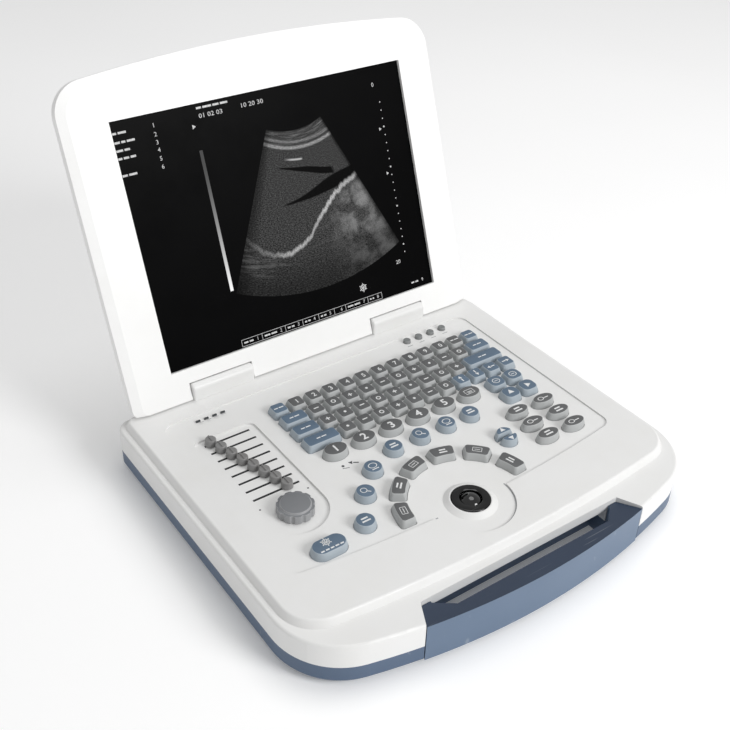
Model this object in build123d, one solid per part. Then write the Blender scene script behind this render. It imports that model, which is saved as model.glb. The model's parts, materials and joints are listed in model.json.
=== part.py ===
from build123d import *
import math
import os

# Laptop-style ultrasound scanner. Millimetres, +Z up, resting on its rubber feet at Z = 0.
# X runs along the keyboard, -Y is the side the user sits at. X = 0 is the middle of the base,
# and Y = 0 is halfway between the front of the carry handle and the back of the open lid.

# ---- driving dimensions ----
FEET_TOP = 3.0
SEAM_Z = 17.0
RIM_Z = 35.0
DECK_Z = 40.0
LID_LINE_Y = 86.6
OPEN_ANGLE = 110.0
WALL = 2.5
DECK_UNDERSIDE = 35.8
KEYPAD_DEPTH = 1.2
SLIDER_DEPTH = 2.8

RIM = dict(half=166.0, front=274.0, back=-13.5, bow=500.0, corner=50.0, back_corner=12.0)
DECK = dict(half=161.5, front=243.0, back=-10.5, bow=1220.0, corner=28.0, back_corner=10.0)
DECK_DRAFT = 30.0

SCREEN_WIDTH = 245.8
SCREEN_HEIGHT = 184.3
SCREEN_BOTTOM = 25.6
SCREEN_OFFSET = 2.1
LID_X = 1.5
LID_HALF = 155.5
LID_TOP = 248.0
LID_BOTTOM = 1.5
LID_ARCH = 1270.0
LID_CORNER = 24.0
BEZEL_DEPTH = 9.0
COVER_DEPTH = 11.0
LID_SKIN = 2.2
CROWN_DROP = 1.6
CROWN_WIDTH = 7.0

HINGE_BACK = 4.0
HINGE_UP = 8.4
HINGE_SPACING = 82.3
HINGE_WIDTH = 52.0
BARREL_R = 4.6
PIN_R = 1.5
PIN_CLEARANCE = 0.05
KNUCKLE_R = 2.8
KNUCKLE_WIDTH = 12.0

POCKET_BACK = 249.0
POCKET_BACK_HALF = 84.0
POCKET_FRONT_HALF = 96.5
GRIP_BACK = 260.5
GRIP_HALF = 77.0
FINGER_BACK = 236.0
LIP_UNDERSIDE = 27.5
HANDLE_GAP = 0.5

KEY_PITCH = 15.14
KEY_SIZE = 13.0
KEY_GAP = 0.35
KEY_TOP = 44.4
KEY_TAPER = 1.2
FLANGE_TOP = 35.7
FLANGE_THICK = 1.4
FLANGE_LIP = 0.75
FIRST_KEY_X = -61.4
ROW_AHEAD = [46.7, 61.9, 77.1, 92.2]
KEY_BLOCK_LEFT = -67.9
KEY_BLOCK_RIGHT = 126.7

BALL_X = -4.3
BALL_AHEAD = 199.1
BALL_R = 9.5
BALL_Z = 34.6
BALL_GAP = 0.4
RING_OUTER = 13.75
RING_INNER = 7.8
COLLAR_R = 19.0
DISC_R = 31.0
ROLLER_R = 1.5
ROLLER_Z = 33.2
ROLLER_OFFSET = math.sqrt((BALL_R + ROLLER_R + 0.3) ** 2 - (BALL_Z - ROLLER_Z) ** 2)

SLIDER_LEFT = -124.4
SLIDER_LENGTH = 36.2
SLIDER_FIRST = 49.2
SLIDER_PITCH = 9.7
SLIDER_COUNT = 8
SLIDER_KNOB_R = 4.4
SLIDER_KNOB_FIRST_X = -119.6
SLIDER_KNOB_STEP_X = 3.1
PLATE_X = -107.0
PLATE_HALF = 24.5
PLATE_TOP = 43.0
GAIN_X = -106.0
GAIN_AHEAD = 141.0
GAIN_R = 13.0
GAIN_LOBES = 11
SHAFT_R = 3.0

BUTTON_XS = [75.9, 87.9, 99.9, 111.9]
LIGHT_XS = [-115.8, -109.0, -102.2, -95.4]
BUTTON_AHEAD = 22.0
BUTTON_R = 3.0

PROBE_AHEADS = [70.0, 150.0]
PORT_XS = [-120.0, -70.0, -45.0]
PORT_Z = 20.0
SIDE_HOLE_TOP = 28.0
PROBE_RIB_HALF = 12.0    # half length of the wall left between the two probe holes
SIDE_WALL_LINE = 100.0   # side walls lie outside this distance from the middle
REAR_WALL_LINE = 85.0    # the rear wall lies behind this line
SCREW_PLACES = [(-140, 60), (140, 60), (-140, -120), (140, -120), (0, 85), (0, -120)]
LID_SCREW_PLACES = [(-120, 26), (120, 26), (-120, 220), (120, 220)]
FOOT_PLACES = [(x * side, ahead) for side in (-1, 1) for x, ahead in [(155, 52), (140, 225), (120, 2)]]
FOOT_R = 8.5


def behind(ahead):
    """Y of a place given as a distance in front of the line where the lid meets the deck."""
    return LID_LINE_Y - ahead


def prism(sketch, low, high):
    return extrude(Pos(0, 0, low) * sketch, high - low)


def block(x0, x1, y0, y1, z0, z1):
    centre = Pos((x0 + x1) / 2, (y0 + y1) / 2, (z0 + z1) / 2)
    return centre * Box(x1 - x0, y1 - y0, z1 - z0)


def rod_x(x0, x1, y, z, radius):
    return Pos((x0 + x1) / 2, y, z) * Rot(0, 90, 0) * Cylinder(radius, x1 - x0)


def side_plane(x, y=0.0, z=0.0):
    """Plane seen from +X, with its own X along Y and its own Y up."""
    return Plane(origin=(x, y, z), x_dir=(0, 1, 0), z_dir=(1, 0, 0))


def plan(spec, inset=0.0):
    """Outline of the base: straight sides and back, bowed front, rounded corners."""
    half = spec["half"] - inset
    front = behind(spec["front"]) + inset
    back = behind(spec["back"]) - inset
    bow = spec["bow"] - inset
    side = front + bow - math.sqrt(bow * bow - half * half)
    edges = [
        Line((-half, back), (-half, side)),
        ThreePointArc((-half, side), (0, front), (half, side)),
        Line((half, side), (half, back)),
        Line((half, back), (-half, back)),
    ]
    face = make_face(edges)
    rear = [v for v in face.vertices() if v.Y > back - 1]
    face = fillet(rear, spec["back_corner"] - inset)
    front_corners = [v for v in face.vertices() if abs(v.Y - side) < 0.01]
    return fillet(front_corners, spec["corner"] - inset)


def pocket(grow=0.0):
    """Plan of the handle's pocket: a straight back and splayed ends, open to the front."""
    back = behind(POCKET_BACK) + grow
    front = behind(RIM["front"]) - 10.0
    splay = (POCKET_FRONT_HALF - POCKET_BACK_HALF) / (RIM["front"] - POCKET_BACK)
    back_half = POCKET_BACK_HALF + grow
    front_half = back_half + splay * (back - front)
    corners = [(-back_half, back), (back_half, back), (front_half, front), (-front_half, front)]
    return make_face(Polyline(*corners, close=True))


def finger_space(grow=0.0):
    half = GRIP_HALF + grow
    depth = POCKET_BACK - FINGER_BACK + 20.0
    return Pos(0, behind(FINGER_BACK) + grow - depth / 2) * Rectangle(2 * half, depth)


# ---- key outlines, each a function of how much it grows all round ----
def square_key(width, height=KEY_SIZE, corner=2.2):
    return lambda grow: RectangleRounded(width + 2 * grow, height + 2 * grow, corner + max(grow, 0))


def oval_key(width, height):
    return lambda grow: Ellipse(width / 2 + grow, height / 2 + grow)


def stadium_key(width, height):
    return lambda grow: SlotOverall(width + 2 * grow, height + 2 * grow)


def arc_key(inner, outer, half_angle):
    """Part of a ring, pointing along +Y from the ring's centre, which is at (0, 0)."""
    def outline(grow):
        ring = Circle(outer + grow) - Circle(inner - grow)
        reach = 2 * outer
        swing = math.radians(half_angle)
        side = (reach * math.sin(swing), reach * math.cos(swing))
        wedge = make_face(Polyline((0, 0), side, (-side[0], side[1]), close=True))
        sector = ring & (Pos(0, -grow / math.sin(swing)) * wedge)
        return fillet(sector.vertices(), 2.4)
    return outline


def half_oval_key(width, height, upper):
    """Half of an oval pair split across its middle."""
    def outline(grow):
        oval = Ellipse(width / 2 + grow, height + grow)
        shift = height if upper else -height
        keep = Pos(0, shift + (-grow if upper else grow)) * Rectangle(2 * width, 2 * height)
        return fillet((oval & keep).vertices(), 1.0)
    return outline


def key_cap(outline):
    """A key: flange under the deck, straight skirt through it, tapered top."""
    skirt_top = DECK_Z + 0.4
    flange = prism(outline(FLANGE_LIP), FLANGE_TOP - FLANGE_THICK, FLANGE_TOP)
    skirt = prism(outline(0), FLANGE_TOP, skirt_top)
    top = loft([Pos(0, 0, skirt_top) * outline(0), Pos(0, 0, KEY_TOP) * outline(-KEY_TAPER)], ruled=True)
    return flange + skirt + top


# ---- key layout: node name -> list of (outline, x, distance ahead, turn) ----
def row_of(first_x, count, ahead):
    return [(square_key(KEY_SIZE), first_x + i * KEY_PITCH, ahead, 0) for i in range(count)]


def wide_key(left, right, ahead):
    return (square_key(right - left), (left + right) / 2, ahead, 0)


def key_layout():
    r1, r2, r3, r4 = ROW_AHEAD
    keys = {}
    keys["key_row_1"] = row_of(FIRST_KEY_X, 13, r1)
    keys["key_row_2"] = [wide_key(KEY_BLOCK_LEFT, -46.9, r2)] + row_of(-38.4, 10, r2)
    keys["key_row_2"].append(wide_key(106.3, KEY_BLOCK_RIGHT, r2))
    keys["key_row_3"] = [wide_key(KEY_BLOCK_LEFT, -46.6, r3)] + row_of(-38.15, 9, r3)
    keys["key_row_3"].append(wide_key(91.4, KEY_BLOCK_RIGHT, r3))
    keys["key_row_4"] = [wide_key(KEY_BLOCK_LEFT, -39.4, r4)] + row_of(-30.9, 7, r4)
    keys["key_row_4"] += row_of(75.0, 4, r4)
    for i in range(6):
        keys[f"mode_key_{i + 1}"] = [(oval_key(20.0, 15.0), -52.4 + 24.4 * i, 108.4, 0)]
    for i in range(6):
        turn = 75.0 - 30.0 * i
        keys[f"arc_key_{i + 1}"] = [(arc_key(42.5, 54.5, 11.5), BALL_X, BALL_AHEAD, turn)]
    round_places = [
        (-76.6, 179.2), (-60.4, 156.4), (-41.7, 138.7), (-16.3, 128.2),
        (7.9, 128.0), (32.0, 127.8), (54.5, 127.6),
    ]
    keys["round_keys"] = [(oval_key(15.2, 15.2), x, d, 0) for x, d in round_places]
    keys["step_keys"] = []
    for x, d in [(96.0, 109.0), (113.0, 109.0), (96.0, 126.0), (113.0, 126.0)]:
        keys["step_keys"].append((square_key(15.4, 14.4, 4.5), x, d, 0))
    keys["oval_keys"] = []
    for column in range(2):
        for line in range(3):
            place = (85.7 + 25.7 * column, 145.3 + 16.5 * line)
            keys["oval_keys"].append((oval_key(20.0, 12.0), place[0], place[1], 0))
    keys["up_key"] = [(half_oval_key(15.0, 8.0, True), 59.5, 161.8, 0)]
    keys["down_key"] = [(half_oval_key(15.0, 8.0, False), 59.5, 164.0, 0)]
    keys["freeze_key"] = [(stadium_key(26.0, 15.0), -108.2, 184.3, 0)]
    return keys


def placed(shape, x, ahead, turn):
    return Pos(x, behind(ahead), 0) * Rot(0, 0, turn) * shape


def key_nodes():
    nodes = {}
    for name, keys in key_layout().items():
        caps = [placed(key_cap(outline), x, ahead, turn) for outline, x, ahead, turn in keys]
        nodes[name] = caps
    return nodes


def key_windows():
    windows = []
    for keys in key_layout().values():
        for outline, x, ahead, turn in keys:
            windows.append(placed(prism(outline(KEY_GAP), 34.0, 42.0), x, ahead, turn))
    return windows


# ---- small controls ----
def top_buttons():
    shapes = []
    for x in BUTTON_XS:
        flange = Pos(x, behind(BUTTON_AHEAD), 35.0) * Cylinder(BUTTON_R + 0.8, 1.4)
        stem = Pos(x, behind(BUTTON_AHEAD), 38.45) * Cylinder(BUTTON_R, 5.5)
        shapes.append(fillet((flange + stem).edges().sort_by(Axis.Z)[-1:], 0.5))
    return shapes


def status_lights():
    return [block(x - 1.75, x + 1.75, behind(23.3), behind(22.2), 35.0, 40.15) for x in LIGHT_XS]


# ---- slide controls ----
def slider_y(i):
    return behind(SLIDER_FIRST + SLIDER_PITCH * i)


def slider_knob(i):
    """Round cap with a finger ridge on a thin blade that runs in the slot."""
    x = SLIDER_KNOB_FIRST_X + SLIDER_KNOB_STEP_X * i
    floor = DECK_Z - SLIDER_DEPTH
    cap = Pos(x, slider_y(i), floor + 3.2) * Cone(SLIDER_KNOB_R, SLIDER_KNOB_R - 0.5, 5.0)
    cap = fillet(cap.edges().sort_by(Axis.Z)[-1:], 0.8)
    ridge = block(x - 0.5, x + 0.5, slider_y(i) - 3.4, slider_y(i) + 3.4, floor + 5.5, floor + 6.4)
    blade = block(x - 2.0, x + 2.0, slider_y(i) - 0.5, slider_y(i) + 0.5, 31.0, floor + 1.0)
    return cap + ridge + blade


def slider_slots(low, high, grow=0.0):
    slots = []
    middle = SLIDER_LEFT + SLIDER_LENGTH / 2
    for i in range(SLIDER_COUNT):
        outline = Pos(middle, slider_y(i)) * SlotOverall(SLIDER_LENGTH + grow, 1.6 + grow)
        slots.append(prism(outline, low, high))
    return slots


def slide_switches():
    """Eight slide potentiometers hanging under the slots, each open along its top."""
    middle = SLIDER_LEFT + SLIDER_LENGTH / 2
    bodies = []
    for i in range(SLIDER_COUNT):
        y = slider_y(i)
        body = block(middle - 23, middle + 23, y - 4.2, y + 4.2, 26.0, DECK_UNDERSIDE)
        groove = block(middle - 19, middle + 19, y - 0.9, y + 0.9, 30.0, DECK_UNDERSIDE + 1)
        bodies.append(body - groove)
    return bodies


def gain_knob():
    """Fluted ring with a plain cap and a shaft; it turns without end."""
    floor = DECK_Z - SLIDER_DEPTH
    ring = Pos(0, 0, floor + 3.4) * Cylinder(GAIN_R, 6.0)
    for i in range(GAIN_LOBES):
        flute = Pos(GAIN_R + 1.0, 0, floor + 3.4) * Cylinder(1.9, 6.2)
        ring = ring - Rot(0, 0, 360 / GAIN_LOBES * i) * flute
    cap = Pos(0, 0, floor + 6.8) * Cone(11.0, 10.2, 1.6)
    shaft = Pos(0, 0, 31.4) * Cylinder(SHAFT_R, 15.2)
    return Pos(GAIN_X, behind(GAIN_AHEAD), 0) * (ring + cap + shaft)


def gain_encoder():
    body = block(-8, 8, -8, 8, 22.0, DECK_UNDERSIDE)
    bore = Pos(0, 0, 30.0) * Cylinder(SHAFT_R + PIN_CLEARANCE, 15.0)
    return Pos(GAIN_X, behind(GAIN_AHEAD), 0) * (body - bore)


# ---- trackball ----
def at_ball(shape):
    return Pos(BALL_X, behind(BALL_AHEAD), 0) * shape


def trackball():
    return at_ball(Pos(0, 0, BALL_Z) * Sphere(BALL_R))


def trackball_ring():
    """Black ring in the collar, cut to follow the ball with a running gap."""
    ring = Pos(0, 0, 40.55) * Cylinder(RING_OUTER, 2.9)
    ring = ring - Pos(0, 0, 40.5) * Cylinder(RING_INNER, 6.0)
    ring = ring - Pos(0, 0, BALL_Z) * Sphere(BALL_R + BALL_GAP)
    top_rim = ring.edges().filter_by(GeomType.CIRCLE).sort_by(Axis.Z)[-2:].sort_by(SortBy.RADIUS)[-1:]
    return at_ball(fillet(top_rim, 1.2))


def roller_space(turn):
    return Rot(0, 0, turn) * block(-6.4, 6.4, 7.0, 13.4, 31.2, 37.0)


def roller_axle_hole(turn):
    return Rot(0, 0, turn) * rod_x(-9.0, 9.0, ROLLER_OFFSET, ROLLER_Z, 0.8 + PIN_CLEARANCE)


def trackball_cup():
    cup = block(-17, 17, -17, 17, 23.0, DECK_UNDERSIDE)
    cup = cup - Pos(0, 0, BALL_Z) * Sphere(BALL_R + BALL_GAP)
    for turn in (0, 90):
        cup = cup - roller_space(turn) - roller_axle_hole(turn)
    return at_ball(cup)


def trackball_roller(turn):
    drum = rod_x(-5.8, 5.8, ROLLER_OFFSET, ROLLER_Z, ROLLER_R)
    axle = rod_x(-8.5, 8.5, ROLLER_OFFSET, ROLLER_Z, 0.8)
    return at_ball(Rot(0, 0, turn) * (drum + axle))


# ---- hinges ----
def hinge_x(side):
    return LID_X + side * HINGE_SPACING


AXIS_Y = LID_LINE_Y + HINGE_BACK
AXIS_Z = DECK_Z + HINGE_UP


def hinge_hump(side):
    """Rounded housing over a hinge, rising straight from the deck."""
    x = hinge_x(side)
    half = HINGE_WIDTH / 2
    foot = block(x - half, x + half, AXIS_Y - BARREL_R, AXIS_Y + BARREL_R, 36.5, AXIS_Z)
    hump = foot + rod_x(x - half, x + half, AXIS_Y, AXIS_Z, BARREL_R)
    return fillet(hump.edges().filter_by(GeomType.CIRCLE), 1.6)


def hinge_hollow(side):
    """Space for the hinge inside the housing, with the slot at the back for the lid's arm."""
    x = hinge_x(side)
    inner = BARREL_R - 1.3
    half = HINGE_WIDTH / 2 - 2.0
    hollow = rod_x(x - half, x + half, AXIS_Y, AXIS_Z, inner)
    hollow = hollow + block(x - half, x + half, AXIS_Y - inner, AXIS_Y + inner, 30.0, AXIS_Z)
    reach = 9.4
    points = [(0.0, 0.0)]
    for angle in (-92, -60, -15, 30, 70):
        turn = math.radians(angle)
        points.append((reach * math.cos(turn), reach * math.sin(turn)))
    wedge = make_face(Polyline(*points, close=True))
    plane = side_plane(x - KNUCKLE_WIDTH / 2 - 0.8, AXIS_Y, AXIS_Z)
    return hollow + extrude(plane * wedge, KNUCKLE_WIDTH + 1.6)


def hinge_bracket(side):
    """Steel bracket: two ears that hold the pin, on a foot under the deck."""
    x = hinge_x(side)
    ears = []
    for hand in (-1, 1):
        x0 = x + hand * 9.0
        ear = block(x0 - 1.0, x0 + 1.0, AXIS_Y - 2.4, AXIS_Y + 2.4, 33.0, AXIS_Z)
        ear = ear + rod_x(x0 - 1.0, x0 + 1.0, AXIS_Y, AXIS_Z, 2.4)
        ears.append(ear)
    foot = block(x - 20, x + 20, AXIS_Y - 10, AXIS_Y + 3, 31.0, 33.0)
    bracket = foot + ears[0] + ears[1]
    return bracket - rod_x(x - 12, x + 12, AXIS_Y, AXIS_Z, PIN_R)


def hinge_pin(side):
    x = hinge_x(side)
    return rod_x(x - 11.0, x + 11.0, AXIS_Y, AXIS_Z, PIN_R)


# ---- lid, drawn in its own plane: X across, Y up the lid, Z out of the screen ----
LID_PLACE = Pos(LID_X, LID_LINE_Y, DECK_Z) * Rot(180 - OPEN_ANGLE, 0, 0)
TILT = math.radians(OPEN_ANGLE - 90)
AXIS_UP_LID = HINGE_BACK * math.sin(TILT) + HINGE_UP * math.cos(TILT)
AXIS_OUT = -HINGE_BACK * math.cos(TILT) + HINGE_UP * math.sin(TILT)
NOTCH_TOP = AXIS_UP_LID + BARREL_R + 0.6


def lid_outline(inset=0.0, bottom=LID_BOTTOM):
    half = LID_HALF - inset
    apex = LID_TOP - inset
    arch = LID_ARCH - inset
    shoulder = apex - arch + math.sqrt(arch * arch - half * half)
    edges = [
        Line((-half, bottom), (-half, shoulder)),
        ThreePointArc((-half, shoulder), (0, apex), (half, shoulder)),
        Line((half, shoulder), (half, bottom)),
        Line((half, bottom), (-half, bottom)),
    ]
    face = make_face(edges)
    top = [v for v in face.vertices() if v.Y > shoulder - 1]
    face = fillet(top, LID_CORNER - inset)
    low = [v for v in face.vertices() if v.Y < bottom + 0.1]
    return fillet(low, 5.0)


def notches(grow=0.0):
    cuts = []
    for side in (-1, 1):
        width = HINGE_WIDTH + 1.2 + 2 * grow
        top = NOTCH_TOP + grow
        cuts.append(Pos(side * HINGE_SPACING, top / 2 - 5) * Rectangle(width, top + 10))
    return cuts


def arm_slots():
    slots = []
    for side in (-1, 1):
        x = side * HINGE_SPACING
        half = KNUCKLE_WIDTH / 2 + 0.8
        slots.append(block(x - half, x + half, NOTCH_TOP - 3, NOTCH_TOP + 6, -9.0, -5.6))
    return slots


def lid_under_cut():
    """Everything below the lid's slanting lower edge."""
    side = make_face(Polyline((-5, 4), (LID_BOTTOM, 0), (14.5, -20.5), (-5, -20.5), close=True))
    return extrude(side_plane(-LID_HALF - 10) * side, 2 * LID_HALF + 20)


def lid_bezel():
    body = prism(lid_outline(), -BEZEL_DEPTH, -CROWN_DROP)
    body = body + loft([Pos(0, 0, -CROWN_DROP) * lid_outline(), lid_outline(CROWN_WIDTH)])
    body = body - lid_under_cut()
    for cut in notches():
        body = body - prism(cut, -BEZEL_DEPTH - 1, 2)
    hollow = lid_outline(LID_SKIN, 9.0)
    for cut in notches(2.0):
        hollow = hollow - cut
    body = body - prism(hollow, -BEZEL_DEPTH - 1, -LID_SKIN - 0.4)
    middle = (SCREEN_OFFSET, SCREEN_BOTTOM + SCREEN_HEIGHT / 2)
    opening = Pos(*middle) * Rectangle(SCREEN_WIDTH, SCREEN_HEIGHT)
    body = body - prism(opening, -4, 2)
    return body - arm_slots()


def lid_rear_cover():
    """Back of the lid: walls that lean in to a flat, rounded panel."""
    draft = 32.0
    outer = extrude(Pos(0, 0, -BEZEL_DEPTH) * lid_outline(0.0, 6.6), -COVER_DEPTH, taper=draft)
    outer = fillet(outer.faces().sort_by(Axis.Z)[0].edges(), 3.0)
    inner = extrude(Pos(0, 0, -BEZEL_DEPTH) * lid_outline(3.0, 9.6), -COVER_DEPTH + LID_SKIN, taper=draft)
    cover = outer - inner
    bosses = []
    for x, y in LID_SCREW_PLACES:
        bosses.append(Pos(x, y, -13.5) * Cylinder(3.6, 9.0))
    cover = cover + bosses
    for x, y in LID_SCREW_PLACES:
        cover = cover - Pos(x, y, -19.0) * Cylinder(3.0, 3.2) - Pos(x, y, -14.0) * Cylinder(1.5, 12.0)
    return cover


def lid_screws():
    screws = []
    for x, y in LID_SCREW_PLACES:
        head = Pos(x, y, -18.4) * Cylinder(2.8, 1.9)
        shank = Pos(x, y, -14.0) * Cylinder(1.4, 7.4)
        slot = block(x - 2.0, x + 2.0, y - 0.35, y + 0.35, -19.6, -18.7)
        cross = block(x - 0.35, x + 0.35, y - 2.0, y + 2.0, -19.6, -18.7)
        screws.append(head + shank - slot - cross)
    return screws


def screen_window():
    middle = SCREEN_BOTTOM + SCREEN_HEIGHT / 2
    outline = Pos(SCREEN_OFFSET, middle) * Rectangle(SCREEN_WIDTH + 8, SCREEN_HEIGHT + 8)
    return prism(outline, -3.8, -2.7)


def lcd_panel():
    middle = SCREEN_BOTTOM + SCREEN_HEIGHT / 2
    outline = Pos(SCREEN_OFFSET, middle) * Rectangle(SCREEN_WIDTH + 14, SCREEN_HEIGHT + 10)
    return prism(outline, -8.8, -3.9)


def hinge_arm(side):
    """Steel arm: knuckle round the pin, a web out through the slot, and a leaf in the lid."""
    half = KNUCKLE_WIDTH / 2
    x = side * HINGE_SPACING
    swing = math.radians(-60)
    y = math.sin(TILT) * math.cos(swing) + math.cos(TILT) * math.sin(swing)
    z = -math.cos(TILT) * math.cos(swing) + math.sin(TILT) * math.sin(swing)
    reach = 7.3
    foot_y = AXIS_UP_LID + reach * y
    foot_z = AXIS_OUT + reach * z
    knuckle = rod_x(x - half, x + half, AXIS_UP_LID, AXIS_OUT, KNUCKLE_R)
    lean = math.degrees(math.atan2(z, y))
    web = Pos(x, (AXIS_UP_LID + foot_y) / 2, (AXIS_OUT + foot_z) / 2)
    web = web * Rot(lean, 0, 0) * Box(2 * half, reach, 1.6)
    low = block(x - half, x + half, foot_y - 0.6, 20.5, foot_z - 0.9, foot_z + 0.6)
    jog = block(x - half, x + half, 19.0, 20.5, -10.6, foot_z)
    leaf = block(x - half, x + half, 19.0, 62.0, -10.6, -9.3)
    arm = knuckle + web + low + jog + leaf
    return arm - rod_x(x - half - 1, x + half + 1, AXIS_UP_LID, AXIS_OUT, PIN_R + PIN_CLEARANCE)


# ---- base shells ----
def keypad_recess():
    left, right = -141.5, 137.5
    back, front, bow = 15.5, 200.7, 1000.0
    middle = (left + right) / 2
    half = (right - left) / 2
    side = behind(front) + bow - math.sqrt(bow * bow - half * half)
    edges = [
        Line((left, behind(back)), (left, side)),
        ThreePointArc((left, side), (middle, behind(front)), (right, side)),
        Line((right, side), (right, behind(back))),
        Line((right, behind(back)), (left, behind(back))),
    ]
    face = make_face(edges)
    face = fillet(face.vertices(), 9.0)
    disc = Pos(BALL_X, behind(BALL_AHEAD)) * Circle(DISC_R)
    return face + disc


def slider_plate():
    back = behind(PLATE_TOP)
    low = behind(GAIN_AHEAD - 1.5)
    body = Pos(PLATE_X, (back + low) / 2) * Rectangle(2 * PLATE_HALF, back - low)
    body = fillet([v for v in body.vertices() if v.Y > back - 1], 6.0)
    return body + Pos(PLATE_X, low) * Circle(PLATE_HALF)


def trackball_collar():
    outer = Pos(0, 0, 40.0) * Cone(COLLAR_R, RING_OUTER + 0.9, 2.8)
    return at_ball(outer)


def top_housing():
    shell = prism(plan(RIM), SEAM_Z, RIM_Z)
    shell = fillet(shell.faces().sort_by(Axis.Z)[-1].edges(), 2.0)
    shell = shell + extrude(Pos(0, 0, RIM_Z - 1) * plan(DECK), 1)
    deck = extrude(Pos(0, 0, RIM_Z) * plan(DECK), DECK_Z - RIM_Z, taper=DECK_DRAFT)
    shell = shell + deck
    shell = fillet(shell.faces().sort_by(Axis.Z)[-1].edges(), 1.8)
    for side in (-1, 1):
        shell = shell + hinge_hump(side)
    shell = shell - prism(pocket(HANDLE_GAP), SEAM_Z - 1, DECK_Z + 1)
    shell = shell - prism(finger_space(), SEAM_Z - 1, LIP_UNDERSIDE)
    inside = prism(plan(RIM, WALL), SEAM_Z - 1, RIM_Z - WALL)
    inside = inside + prism(plan(DECK, 6.0), RIM_Z - WALL, DECK_UNDERSIDE)
    inside = inside - prism(pocket(WALL + HANDLE_GAP), SEAM_Z - 2, DECK_Z)
    inside = inside - prism(finger_space(WALL), SEAM_Z - 2, DECK_Z)
    shell = shell - inside
    shell = shell - prism(keypad_recess(), DECK_Z - KEYPAD_DEPTH, DECK_Z + 1)
    shell = shell - prism(slider_plate(), DECK_Z - SLIDER_DEPTH, DECK_Z)
    shell = shell + trackball_collar()
    shell = shell - at_ball(Pos(0, 0, 41.0) * Cylinder(RING_OUTER + 0.1, 3.8))
    shell = shell - at_ball(Pos(0, 0, 38.0) * Cylinder(10.6, 6.0))
    shell = shell - key_windows()
    shell = shell - slider_slots(34.0, 40.0)
    shell = shell - (Pos(GAIN_X, behind(GAIN_AHEAD), 36.0) * Cylinder(SHAFT_R + 0.6, 6.0))
    for x in BUTTON_XS:
        shell = shell - Pos(x, behind(BUTTON_AHEAD), 38.0) * Cylinder(BUTTON_R + 0.35, 8.0)
    for x in LIGHT_XS:
        shell = shell - block(x - 1.75, x + 1.75, behind(23.3), behind(22.2), 34.0, 42.0)
    for side in (-1, 1):
        shell = shell - hinge_hollow(side)
    return housing_sections(shell - rear_openings() - side_openings())


def housing_sections(shell):
    """The housing as sections that meet face to face, so each wall between two openings stands alone."""
    x_far = RIM["half"] + 5.0
    front = behind(RIM["front"]) - 5.0
    back = behind(RIM["back"]) + 5.0
    pocket_line = behind(FINGER_BACK)
    low = SEAM_Z - 1.0
    high = AXIS_Z + BARREL_R + 5.0
    cuts = []
    for side in (-1, 1):
        reach = HINGE_WIDTH / 2 + 1.0
        cuts.append(block(hinge_x(side) - reach, hinge_x(side) + reach, 80.0, back, DECK_Z, high))
    cuts.append(block(-GRIP_HALF, GRIP_HALF, front, pocket_line, low, high))
    cuts.append(block(-GRIP_HALF, GRIP_HALF, pocket_line, pocket_line + 10.0, low, SIDE_HOLE_TOP))
    for z0, z1 in [(low, SIDE_HOLE_TOP), (SIDE_HOLE_TOP, high)]:
        cuts.append(block(-x_far, 0, front, pocket_line, z0, z1))
        cuts.append(block(0, x_far, front, pocket_line, z0, z1))
    cuts.append(block(PORT_XS[0] - 6.0, PORT_XS[2] + 8.0, REAR_WALL_LINE, back, PORT_Z + 5.5, SIDE_HOLE_TOP))
    walls = [-x_far] + PORT_XS + [x_far]
    for x0, x1 in zip(walls[:-1], walls[1:]):
        cuts.append(block(x0, x1, REAR_WALL_LINE, back, low, SIDE_HOLE_TOP))
    middle = behind(sum(PROBE_AHEADS) / 2)
    right_walls = [
        (pocket_line, behind(PROBE_AHEADS[1])),
        (middle - PROBE_RIB_HALF, middle + PROBE_RIB_HALF),
        (behind(PROBE_AHEADS[0]), REAR_WALL_LINE),
    ]
    for y0, y1 in right_walls:
        cuts.append(block(SIDE_WALL_LINE, x_far, y0, y1, low, SIDE_HOLE_TOP))
    cuts.append(block(-x_far, -SIDE_WALL_LINE, pocket_line, REAR_WALL_LINE, low, SIDE_HOLE_TOP))
    sections = []
    for cut in cuts:
        sections += list((shell & cut).solids())
        shell = shell - cut
    return sections + list(shell.solids())


def bottom_housing():
    shell = prism(plan(RIM), FEET_TOP, SEAM_Z)
    shell = chamfer(shell.faces().sort_by(Axis.Z)[0].edges(), 3.0, 2.0)
    shell = shell - prism(pocket(HANDLE_GAP), 0, SEAM_Z + 1)
    shell = shell - prism(finger_space(), 0, SEAM_Z + 1)
    inside = prism(plan(RIM, WALL), FEET_TOP + WALL, SEAM_Z + 1)
    inside = inside - prism(pocket(WALL + HANDLE_GAP), 0, SEAM_Z + 2)
    inside = inside - prism(finger_space(WALL), 0, SEAM_Z + 2)
    shell = shell - inside
    for hand in (-1, 1):
        shell = shell - handle_lug(hand, 0.3)
    for x, y in SCREW_PLACES:
        shell = shell + Pos(x, y, 10.0) * Cylinder(4.0, 10.0)
        shell = shell - Pos(x, y, 4.0) * Cylinder(3.4, 3.6) - Pos(x, y, 10.0) * Cylinder(1.8, 13.0)
    for x in vent_xs():
        shell = shell - Pos(x, 20, 4.0) * Box(2.4, 46, 6)
    return shell - rear_openings() - side_openings()


def vent_xs():
    return [-60 + 8 * i for i in range(16)]


def base_screws():
    screws = []
    for x, y in SCREW_PLACES:
        head = Pos(x, y, 4.6) * Cylinder(3.0, 2.0)
        shank = Pos(x, y, 10.0) * Cylinder(1.6, 11.0)
        slot = block(x - 2, x + 2, y - 0.4, y + 0.4, 3, 4.4)
        cross = block(x - 0.4, x + 0.4, y - 2, y + 2, 3, 4.4)
        screws.append(head + shank - slot - cross)
    return screws


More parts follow.
